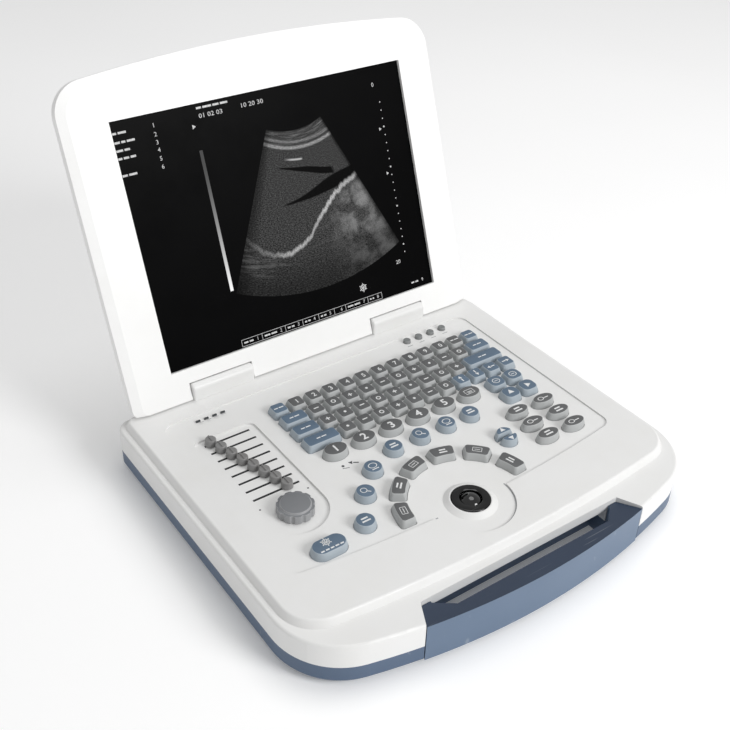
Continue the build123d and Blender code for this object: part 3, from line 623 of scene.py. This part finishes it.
# %% Find the middle of every key top
def key_tops(name):
    """Middle of each key's flat top, in millimetres, from left to right."""
    mesh = nodes[name].data
    highest = max(v.co.z for v in mesh.vertices)
    faces = [f for f in mesh.polygons if min(mesh.vertices[i].co.z for i in f.vertices) > highest - 0.00001]
    islands = []
    for face in faces:
        corners = {tuple(round(c, 6) for c in mesh.vertices[i].co) for i in face.vertices}
        touching = [island for island in islands if island & corners]
        for island in touching:
            islands.remove(island)
            corners |= island
        islands.append(corners)
    middles = []
    for island in islands:
        xs = [c[0] for c in island]
        ys = [c[1] for c in island]
        middles.append(((min(xs) + max(xs)) / 2 / MM, (min(ys) + max(ys)) / 2 / MM))
    return sorted(middles)


top_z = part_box("key_row_1")[1].z / MM + INK / MM
print("row 1 keys:", len(key_tops("key_row_1")))

# %% [markdown]
# ## Plain marks on the keyboard
# The first row is numbered like a dial. The other small keys take one of four plain marks in turn:
# a bar, a ring, a cross and a dot. Wide keys carry two bars, and the last four keys are arrows.

# %% Keyboard legends
ROW_MARKS = {"key_row_1": "-1234567890--", "key_row_2": "-brcdbrcdbr-", "key_row_3": "-cdbrcdbrc-",
             "key_row_4": "-dbrcdbr"}
ARROW_TURNS = [90.0, -90.0, 180.0, 0.0]
for row in ROWS:
    shapes = []
    tops = key_tops(row)
    for (x, y), mark in zip(tops, ROW_MARKS[row]):
        if mark.isdigit():
            shapes.append(letters(mark, x + 0.5, y - 0.4, top_z, 6.2, bold=0.1))
        elif mark == "b":
            shapes.append(bar(x, y, top_z, 4.2, 1.0))
        elif mark == "r":
            shapes.append(hoop(x, y, top_z, 1.6, 0.4))
        elif mark == "c":
            shapes += [bar(x, y, top_z, 3.6, 0.9), bar(x, y, top_z - 0.01, 0.9, 3.6)]
        elif mark == "d":
            shapes.append(flat_round(16, x, y, top_z, 1.1))
        else:
            shapes += [bar(x - 2.4, y, top_z, 3.2, 1.0), bar(x + 2.0, y, top_z, 4.0, 1.0)]
    if row == "key_row_4":
        for (x, y), turn in zip(tops[8:], ARROW_TURNS):
            shapes += arrow(x, y, top_z, 6.0, turn)
    print_on(row, row + "_print", shapes, white_ink)

# %% [markdown]
# ## Mode keys, arc keys and the rest
# The six oval mode keys carry large bold marks. The other function keys carry small plain symbols:
# two short lines, a ring, an arrow.


# %% Symbols for the function keys
def two_lines(x, y, size, turn=0.0):
    lean = math.radians(turn)
    shapes = []
    for side, width in ((0.5, 0.8), (-0.5, 1.0)):
        gap = side * size * 0.42
        across, along = x - gap * math.sin(lean), y + gap * math.cos(lean)
        shapes.append(bar(across, along, top_z, size * width, size * 0.2, turn))
    return shapes


def boxed_line(x, y, size, turn=0.0):
    lean = math.radians(turn)
    shapes = []
    for side in (-0.5, 0.5):
        gap = side * size * 0.8
        shapes.append(bar(x - gap * math.sin(lean), y + gap * math.cos(lean), top_z, size * 1.3, 0.4, turn))
        wide = side * size * 1.3
        across, along = x + wide * math.cos(lean), y + wide * math.sin(lean)
        shapes.append(bar(across, along, top_z, 0.4, size * 0.8, turn))
    shapes.append(bar(x, y, top_z, size * 0.8, 0.5, turn))
    return shapes


# %% Print the function keys
MODE_MARKS = ["1", "2", "3", "4", "5"]
for key_name, mark in zip(MODE_KEYS, MODE_MARKS):
    (x, y), = key_tops(key_name)
    bold_mark = letters(mark, x, y - 0.4, top_z, 9.4, bold=0.22)
    print_on(key_name, key_name + "_print", [bold_mark], white_ink)
(x, y), = key_tops(MODE_KEYS[5])
print_on(MODE_KEYS[5], MODE_KEYS[5] + "_print", boxed_line(x, y, 6.0) + [bar(x, y - 1.2, top_z, 4.0, 0.5)],
         white_ink)

ball_x, ball_y = ball_centre.x / MM, ball_centre.y / MM
for number, key_name in enumerate(ARC_KEYS):
    (x, y), = key_tops(key_name)
    turn = math.degrees(math.atan2(y - ball_y, x - ball_x)) - 90.0
    shapes = two_lines(x, y, 6.0, turn) if number % 2 else boxed_line(x, y, 5.0, turn)
    print_on(key_name, key_name + "_print", shapes, white_ink)

round_marks = []
for number, (x, y) in enumerate(key_tops("round_keys")):
    if number % 3 == 0:
        round_marks += two_lines(x, y, 6.4)
    elif number % 3 == 1:
        round_marks += [hoop(x - 1.0, y + 0.8, top_z, 2.2), bar(x + 1.6, y - 1.8, top_z, 3.0, 0.7, -40.0)]
    else:
        round_marks += [hoop(x, y + 0.6, top_z, 2.4, stretch=1.3)] + [bar(x, y - 3.2, top_z, 5.4, 0.8)]
print_on("round_keys", "round_keys_print", round_marks, white_ink)

step_tops = key_tops("step_keys")
step_marks = []
middle_y = sum(y for x, y in step_tops) / len(step_tops)
for x, y in step_tops:
    if y < middle_y:
        left_one = x < step_tops[-1][0] - 5.0
        step_marks.append(flat_round(3, x, y, top_z, 3.0, 0.0 if left_one else -90.0))
    else:
        step_marks += [hoop(x, y, top_z, 2.6, stretch=1.2), bar(x, y, top_z, 3.4, 0.6)]
print_on("step_keys", "step_keys_print", step_marks, white_ink)

oval_marks = []
for number, (x, y) in enumerate(key_tops("oval_keys")):
    if number % 2:
        oval_marks += [hoop(x - 2.4, y, top_z, 1.7, stretch=1.4), bar(x + 2.6, y - 0.3, top_z, 4.0, 0.8)]
    else:
        oval_marks += two_lines(x, y, 6.6)
print_on("oval_keys", "oval_keys_print", oval_marks, white_ink)

for key_name, turn in (("up_key", 0.0), ("down_key", 180.0)):
    (x, y), = key_tops(key_name)
    print_on(key_name, key_name + "_print", [flat_round(3, x, y, top_z, 2.5, turn)], white_ink)

(x, y), = key_tops("freeze_key")
freeze_marks = snowflake(x - 1.0, y + 2.2, top_z, 7.4)
freeze_marks += [bar(x + offset, y - 4.0, top_z, 2.6, 1.1) for offset in (-7.2, -3.6, 0.0, 3.6, 7.2)]
print_on("freeze_key", "freeze_key_print", freeze_marks, white_ink)

# %% [markdown]
# ## Small marks on the deck
# Under the lights and the four top buttons there are tiny printed labels, and near the knob and the
# first mode key a few dots. They are grey ink, and short bars stand for words.

# %% Deck marks
deck_z = 40.0 + INK / MM
recess_z = deck_z - 1.2
light_low, light_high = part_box("status_lights")
deck_marks = []
for number in range(4):
    share = (number + 0.5) / 4
    x = (light_low.x + (light_high.x - light_low.x) * share) / MM
    deck_marks.append(bar(x + 0.6, light_low.y / MM - 2.2, deck_z, 3.6, 0.55))
for x, y in key_tops("top_buttons"):
    deck_marks.append(bar(x - 1.0, y - 6.2, recess_z, 5.0, 0.6))
print_on("base", "deck_labels", deck_marks, grey_ink_and_painted_shade)

dark_marks = [flat_round(12, -55.3, -35.5, recess_z, 1.1), bar(-54.6, -38.4, recess_z, 5.0, 0.5, -20.0)]
dark_marks += arrow(-47.0, -36.2, recess_z, 6.5, 150.0)
dark_marks.append(flat_round(12, -86.8, -39.6, 37.2 + INK / MM, 0.7))
dark_marks.append(flat_round(12, -124.9, -40.4, 37.2 + INK / MM, 0.7))
print_on("base", "deck_dots", dark_marks, dark_ink)

# %% [markdown]
# ## Painted shadow line round the keypad
# The keypad sits in a shallow moulded step. Along its front edge and round the ball, a fine grey
# line is laid in the step's foot. It is painted shade, standing in for the shadow the step casts there.

# %% Painted shade line in the step's foot
STEP_LEFT, STEP_RIGHT, STEP_MIDDLE = -141.5, 137.5, -2.0
STEP_FRONT, STEP_BOW, STEP_CORNER = -114.1, 1000.0, 9.0
BALL_DISC = 31.0
LINE_INSET, LINE_WIDTH = 0.45, 0.9


def step_front(x):
    return STEP_FRONT + STEP_BOW - math.sqrt(STEP_BOW ** 2 - (x - STEP_MIDDLE) ** 2) + LINE_INSET


# These grey bars are painted shade: they stand in for the shadow at the foot of the keypad's step.
painted_shade_line = []
xs = [STEP_LEFT + STEP_CORNER + 5.0 * i for i in range(54)]
for x in xs:
    if abs(x - ball_x) > BALL_DISC + 2.0 and x < STEP_RIGHT - STEP_CORNER:
        lean = math.degrees(math.atan2(x - STEP_MIDDLE, STEP_BOW))
        painted_shade_line.append(bar(x + 2.5, step_front(x + 2.5), recess_z, 5.02, LINE_WIDTH, lean))
for angle in range(-100, 12, 4):
    spot = math.radians(angle)
    reach = BALL_DISC - LINE_INSET
    x, y = ball_x + reach * math.cos(spot), ball_y + reach * math.sin(spot)
    if y < step_front(x) or angle > -40:
        if y < step_front(x) + 1.0:
            painted_shade_line.append(bar(x, y, recess_z, reach * 0.0703, LINE_WIDTH, angle + 90.0))
print_on("base", "painted_shadow_step_line", painted_shade_line, grey_ink_and_painted_shade)

# %% [markdown]
# ## Black lines of the slots
# Each slide control runs in a slot with a black dust lip. The lips are thin black strips laid just
# under the deck's surface, so the slots read as solid black lines.

# %% Slot lips
SLOT_MIDDLE = -106.3
slot_strips = []
for number in range(1, 9):
    low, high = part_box(f"tgc_knob_{number}")
    slot_strips.append(bar(SLOT_MIDDLE, (low.y + high.y) / 2 / MM, 37.25, 36.2, 1.7))
for strip in slot_strips:
    strip.scale.z = 0.1 * MM
print_on("base", "slot_lips", slot_strips, black_mould)

# %% [markdown]
# ## The picture on the screen
# A scan is drawn in polar form: each beam leaves the probe at its own angle, and depth runs along
# it. So the picture is a flat sheet bent into a fan, whose UV map still says angle and depth, and
# all its detail is drawn in those two numbers: speckle, bright skin lines, two dark vessels, and
# the bright curved line of the diaphragm.

# %% The lid's own directions
LID_TILT = math.radians(70.0)
lid_matrix = Matrix.Translation((0.0015, 0.0866, 0.040)) @ Matrix.Rotation(LID_TILT, 4, "X")
GLASS_Z = -2.7

# %% Fan-shaped sheet
FAN_APEX = (22.15, 232.5)
FAN_NEAR, FAN_FAR, FAN_HALF_ANGLE = 56.5, 181.5, 25.0
let_go()
bpy.ops.mesh.primitive_grid_add(x_subdivisions=60, y_subdivisions=24, size=1.0)
fan = bpy.context.object
fan.name = "echo_picture"
for vertex in fan.data.vertices:
    angle = math.radians(vertex.co.x * 2.0 * FAN_HALF_ANGLE)
    reach = FAN_NEAR + (0.5 - vertex.co.y) * (FAN_FAR - FAN_NEAR)
    vertex.co = (
        (FAN_APEX[0] + reach * math.sin(angle)) * MM,
        (FAN_APEX[1] - reach * math.cos(angle)) * MM,
        (GLASS_Z + 0.04) * MM,
    )
fan.matrix_world = lid_matrix
set_in_place(fan)
print("fan faces:", len(fan.data.polygons))

# %% Fan picture: angle, depth and speckle
echo, echo_tree, echo_shader = blank_material("echo_picture")
uv = add(echo_tree, "ShaderNodeUVMap", uv_map=fan.data.uv_layers[0].name)
echo_split = add(echo_tree, "ShaderNodeSeparateXYZ")
echo_tree.links.new(uv.outputs["UV"], echo_split.inputs[0])


def work(kind, *values, **more):
    return calc(echo_tree, kind, *values, **more)


def fade(value, *ends):
    return ramp(echo_tree, value, *ends)


beam = echo_split.outputs["X"]
depth = work("SUBTRACT", 1.0, echo_split.outputs["Y"])


def echo_noise(across, along, detail=2.0, roughness=0.6):
    stretch = add(echo_tree, "ShaderNodeMapping")
    stretch.inputs["Scale"].default_value = (across, along, 1.0)
    echo_tree.links.new(uv.outputs["UV"], stretch.inputs["Vector"])
    return noise(echo_tree, stretch.outputs["Vector"], 1.0, detail, roughness)


def depth_line(points):
    """A curve of depth against angle, both from 0 to 1."""
    node = add(echo_tree, "ShaderNodeFloatCurve")
    curve = node.mapping.curves[0]
    curve.points[0].location = points[0]
    curve.points[1].location = points[-1]
    for point in points[1:-1]:
        curve.points.new(*point)
    node.mapping.update()
    echo_tree.links.new(beam, node.inputs["Value"])
    return node.outputs["Value"]


def band(line, half_width, softness):
    """1 within half_width of the line, fading to 0 over softness."""
    gap = work("ABSOLUTE", work("SUBTRACT", depth, line))
    outer = work("ADD", half_width, softness)
    return fade(gap, half_width, outer, 1.0, 0.0)


def at(angle, radius):
    return (0.5 + angle / (2 * FAN_HALF_ANGLE), (radius - FAN_NEAR) / (FAN_FAR - FAN_NEAR))


speckle = echo_noise(90.0, 230.0, 3.0)
streaks = echo_noise(34.0, 170.0, 2.0)
haze = echo_noise(9.0, 8.0, 3.0)
tissue = work("MULTIPLY", fade(speckle, 0.3, 0.78), fade(streaks, 0.2, 0.8, 0.45, 1.0))
tissue = work("MULTIPLY", tissue, 0.17)

# %% Fan picture: skin lines, vessels and diaphragm
skin_line = depth_line([at(-25, 68), at(0, 70), at(25, 72)])
skin_bands = work("MAXIMUM", band(skin_line, 0.003, 0.012),
                  work("MULTIPLY", band(work("SUBTRACT", skin_line, 0.035), 0.002, 0.012), 0.5))
near_bands = fade(depth, 0.0, 0.13, 1.0, 0.0)
near_stripes = work("MULTIPLY", near_bands, fade(echo_noise(3.0, 90.0), 0.45, 0.7, 0.0, 0.12))

upper_vessel = depth_line([at(-25, 85), at(0, 87), at(12, 94), at(25, 104)])
upper_width = fade(beam, at(-15, 0)[0], at(10, 0)[0], 0.0, 0.018)
upper_mask = work("MULTIPLY", band(upper_vessel, upper_width, 0.008),
                  work("MULTIPLY", fade(beam, at(-15, 0)[0], at(-12, 0)[0]),
                       fade(beam, at(15, 0)[0], at(17, 0)[0], 1.0, 0.0)))
lower_vessel = depth_line([at(-25, 120), at(0, 108), at(14, 105), at(25, 108)])
lower_width = fade(beam, at(-12, 0)[0], at(16, 0)[0], 0.0, 0.036)
lower_mask = work("MULTIPLY", band(lower_vessel, lower_width, 0.01),
                  fade(beam, at(-12.5, 0)[0], at(-9, 0)[0]))
vessels = work("MAXIMUM", upper_mask, lower_mask)

diaphragm = depth_line([at(-25, 140), at(-14, 150), at(-6, 146), at(5, 124), at(13, 114), at(25, 111)])
diaphragm = work("ADD", diaphragm, fade(echo_noise(26.0, 2.0), 0.3, 0.7, -0.008, 0.008))
bright_line = band(diaphragm, 0.002, 0.022)
line_power = add(echo_tree, "ShaderNodeFloatCurve")
for number, point in enumerate([(0.0, 0.15), (1.0, 0.7)]):
    line_power.mapping.curves[0].points[number].location = point
for point in [(0.2, 0.3), (0.33, 0.75), (0.5, 0.6), (0.66, 0.85), (0.8, 0.7)]:
    line_power.mapping.curves[0].points.new(*point)
line_power.mapping.update()
echo_tree.links.new(beam, line_power.inputs["Value"])
bright_line = work("MULTIPLY", bright_line, line_power.outputs["Value"])

# %% Fan picture: what lies behind the diaphragm
behind_line = work("SUBTRACT", depth, diaphragm)
after = fade(behind_line, 0.0, 0.06)
right_glow = work("MULTIPLY", fade(beam, at(3, 0)[0], at(17, 0)[0]), fade(haze, 0.35, 0.7))
left_glow = work("MULTIPLY", fade(beam, at(-20, 0)[0], at(-6, 0)[0], 1.0, 0.1),
                 fade(echo_noise(6.0, 46.0, 3.0), 0.42, 0.72))
left_glow = work("MULTIPLY", left_glow, fade(depth, 0.95, 0.78, 0.0, 1.0))
glow = work("MULTIPLY", after,
            work("ADD", work("MULTIPLY", right_glow, 0.17), work("MULTIPLY", left_glow, 0.20)))
short_line = band(depth_line([at(-25, 76), at(0, 79), at(25, 81)]), 0.001, 0.008)
short_line = work("MULTIPLY", short_line,
                  work("MULTIPLY", fade(beam, at(-11, 0)[0], at(-5, 0)[0]),
                       fade(beam, at(0, 0)[0], at(1.5, 0)[0], 0.45, 0.0)))

# %% Fan picture: put it together
level = work("ADD", tissue, near_stripes)
level = work("MULTIPLY", level, work("SUBTRACT", 1.0, work("MULTIPLY", vessels, 0.96)))
level = work("ADD", level, glow)
level = work("ADD", level, work("MULTIPLY", skin_bands, fade(streaks, 0.3, 0.7, 0.12, 0.34)))
level = work("ADD", level, work("MULTIPLY", bright_line, fade(speckle, 0.3, 0.7, 0.3, 0.75)))
level = work("ADD", level, short_line)
side_fade = work("MULTIPLY", fade(beam, 0.0, 0.12, 0.35, 1.0), fade(beam, 1.0, 0.96, 0.3, 1.0))
deep_fade = fade(depth, 0.62, 1.0, 1.0, 0.42)
level = work("MULTIPLY", level, work("MULTIPLY", side_fade, deep_fade))
level = work("MULTIPLY", level, fade(depth, 0.0, 0.015), clamp=True)
echo_glow = mix_colour(echo_tree, level, (0.0, 0.0, 0.0), (1.0, 1.0, 1.0))
echo_tree.links.new(echo_glow, echo_shader.inputs["Emission Color"])
echo_shader.inputs["Emission Strength"].default_value = 1.0
echo_shader.inputs["Base Color"].default_value = (0.0, 0.0, 0.0, 1.0)
echo_shader.inputs["Specular IOR Level"].default_value = 0.03
echo_tree.links.new(fade(speckle, 0.0, 1.0, 0.35, 0.4), echo_shader.inputs["Roughness"])
fan.data.materials.append(echo)
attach(fan, "lid")

# %% [markdown]
# ## Figures and scales round the picture
# The settings, the date, the depth scale and the row of boxes are lit marks on black. Words are
# left out: numbers and short dashes stand for them.

# %% Lit marks
lit, lit_tree, lit_shader = blank_material("lit_marks")
lit_place = add(lit_tree, "ShaderNodeTexCoord").outputs["Object"]
lit_grain = ramp(lit_tree, noise(lit_tree, lit_place, 1600.0), 0.3, 0.7, 0.45, 0.8)
lit_glow = mix_colour(lit_tree, lit_grain, (0.0, 0.0, 0.0), (1.0, 1.0, 1.0))
lit_tree.links.new(lit_glow, lit_shader.inputs["Emission Color"])
lit_shader.inputs["Emission Strength"].default_value = 0.9
lit_shader.inputs["Base Color"].default_value = (0.0, 0.0, 0.0, 1.0)

mark_z = GLASS_Z + 0.05
lit_marks = []


def dashes(x, y, widths, height=1.5):
    """A word's worth of short lit dashes, starting at x."""
    shapes = []
    for width in widths:
        shapes.append(bar(x + width / 2, y, mark_z, width, height))
        x += width + 1.1
    return shapes


SETTING_ROWS = [(201.3, (3, 6), "1"), (195.0, (4, 3, 6), "2"), (189.4, (5, 4), "3"),
                (184.0, (3, 4, 4), "4"),
                (178.0, (), "5"), (172.2, (4, 6), "6")]
for y, widths, value in SETTING_ROWS:
    lit_marks += dashes(-119.5, y, widths)
    lit_marks.append(letters(value, -88.5, y, mark_z, 4.4))
lit_marks += dashes(-54.0, 206.4, (4, 7, 5, 6))
lit_marks.append(letters("01 02 03", -43.5, 200.6, mark_z, 4.6, stretch=1.2))
lit_marks.append(letters("10 20 30", -9.5, 201.4, mark_z, 4.6, stretch=1.2))
lit_marks.append(flat_round(3, -58.9, 194.2, mark_z, 1.8, -90.0))
lit_marks.append(letters("0", 98.4, 195.1, mark_z, 4.6))
lit_marks.append(letters("20", 94.5, 51.7, mark_z, 4.6))
lit_marks.append(letters("9", 115.5, 30.8, mark_z, 4.0))
lit_marks += dashes(104.0, 30.8, (3, 3), 1.3)
lit_marks += snowflake(56.6, 40.5, mark_z, 7.5)
for step in range(20):
    lit_marks.append(flat_round(8, 102.6, 181.1 - 6.45 * step, mark_z, 0.75 if step % 5 == 3 else 0.5))
for y in (160.5, 125.0):
    lit_marks.append(flat_round(3, 98.6, y, mark_z, 1.5, -90.0))

BOX_BOTTOM, BOX_TOP, BOX_LEFT = 26.6, 31.8, -59.0
edge = BOX_LEFT
for width, value in zip((18, 21, 16, 15, 15, 11, 22, 14), "12345678"):
    middle = (BOX_BOTTOM + BOX_TOP) / 2
    lit_marks += [bar(edge + width / 2, y, mark_z, width, 0.3) for y in (BOX_BOTTOM, BOX_TOP)]
    lit_marks += [bar(edge + offset, middle, mark_z, 0.3, BOX_TOP - BOX_BOTTOM) for offset in (0.0, width)]
    lit_marks += dashes(edge + 2.0, middle, ((width - 11.0) / 2,) * 2, 1.3) if width > 12 else []
    lit_marks.append(letters(value, edge + width - 4.0, middle, mark_z, 3.8))
    edge += width
print_on("lid", "screen_marks", lit_marks, lit, lid_matrix)

# %% Grey scale bar
let_go()
bpy.ops.mesh.primitive_grid_add(x_subdivisions=2, y_subdivisions=24, size=1.0)
scale_bar = bpy.context.object
scale_bar.name = "grey_scale_bar"
for vertex in scale_bar.data.vertices:
    vertex.co = ((-57.4 + 2.6 * vertex.co.x) * MM, (124.0 + 106.0 * vertex.co.y) * MM, mark_z * MM)
scale_bar.matrix_world = lid_matrix
set_in_place(scale_bar)
scale_paint, scale_tree, scale_shader = blank_material("grey_scale")
scale_uv = add(scale_tree, "ShaderNodeUVMap", uv_map=scale_bar.data.uv_layers[0].name)
scale_split = add(scale_tree, "ShaderNodeSeparateXYZ")
scale_tree.links.new(scale_uv.outputs["UV"], scale_split.inputs[0])
scale_level = calc(scale_tree, "POWER", calc(scale_tree, "SUBTRACT", 1.0, scale_split.outputs["Y"]), 2.2)
scale_tree.links.new(mix_colour(scale_tree, scale_level, (0.0, 0.0, 0.0), (1.0, 1.0, 1.0)),
                     scale_shader.inputs["Emission Color"])
scale_shader.inputs["Emission Strength"].default_value = 0.95
scale_shader.inputs["Base Color"].default_value = (0.0, 0.0, 0.0, 1.0)
scale_bar.data.materials.append(scale_paint)
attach(scale_bar, "lid")

# %% [markdown]
# ## Floor, light and camera
# A seamless pale floor, one large soft light in front and to the right, a weaker one from above,
# and a pale sky that fills the shadows. The floor glows a little, as a lit sweep does.

# %% Stage
bpy.ops.mesh.primitive_plane_add(size=40.0, location=(0.0, 0.0, 0.0))
floor = bpy.context.object
floor.name = "floor"
floor_paint, floor_tree, floor_shader = blank_material("floor_paint")
floor_place = add(floor_tree, "ShaderNodeTexCoord").outputs["Object"]
floor_tone = mix_colour(floor_tree, noise(floor_tree, floor_place, 3.0), (0.93, 0.93, 0.93), (0.97, 0.97, 0.97))
floor_tree.links.new(floor_tone, floor_shader.inputs["Base Color"])
floor_shader.inputs["Roughness"].default_value = 0.9
floor_shader.inputs["Emission Color"].default_value = (1.0, 1.0, 1.0, 1.0)
floor_shader.inputs["Emission Strength"].default_value = 0.1
floor.data.materials.append(floor_paint)

# %% Lights
world = bpy.context.scene.world or bpy.data.worlds.new("studio")
bpy.context.scene.world = world
world.use_nodes = True
world.node_tree.nodes["Background"].inputs["Color"].default_value = (1.0, 1.0, 1.0, 1.0)
world.node_tree.nodes["Background"].inputs["Strength"].default_value = 0.5


def soft_light(name, place, target, size, power):
    lamp = bpy.data.lights.new(name, "AREA")
    lamp.shape = "DISK"
    lamp.size = size
    lamp.energy = power
    holder = bpy.data.objects.new(name, lamp)
    bpy.context.scene.collection.objects.link(holder)
    holder.location = place
    holder.rotation_euler = (Vector(target) - Vector(place)).to_track_quat("-Z", "Y").to_euler()
    return holder


soft_light("key_light", (0.7, -1.7, 1.15), (0.0, 0.0, 0.05), 0.9, 25.0)
soft_light("top_light", (0.5, 0.2, 1.9), (0.0, 0.0, 0.0), 1.2, 8.0)

# %% Camera
CAMERA_PLACE = (-0.3737, -0.4941, 0.5153)
CAMERA_TURN, CAMERA_PITCH, CAMERA_ROLL = 36.13, 34.95, 1.68
turn = (Matrix.Rotation(math.radians(-CAMERA_TURN), 4, "Z")
        @ Matrix.Rotation(math.radians(90.0 - CAMERA_PITCH), 4, "X")
        @ Matrix.Rotation(math.radians(CAMERA_ROLL), 4, "Z"))
lens = bpy.data.cameras.new("camera")
lens.sensor_width = 36.0
lens.lens = 51.775
camera = bpy.data.objects.new("camera", lens)
bpy.context.scene.collection.objects.link(camera)
camera.matrix_world = Matrix.Translation(CAMERA_PLACE) @ turn
bpy.context.scene.camera = camera
bpy.context.scene.view_settings.view_transform = "Standard"
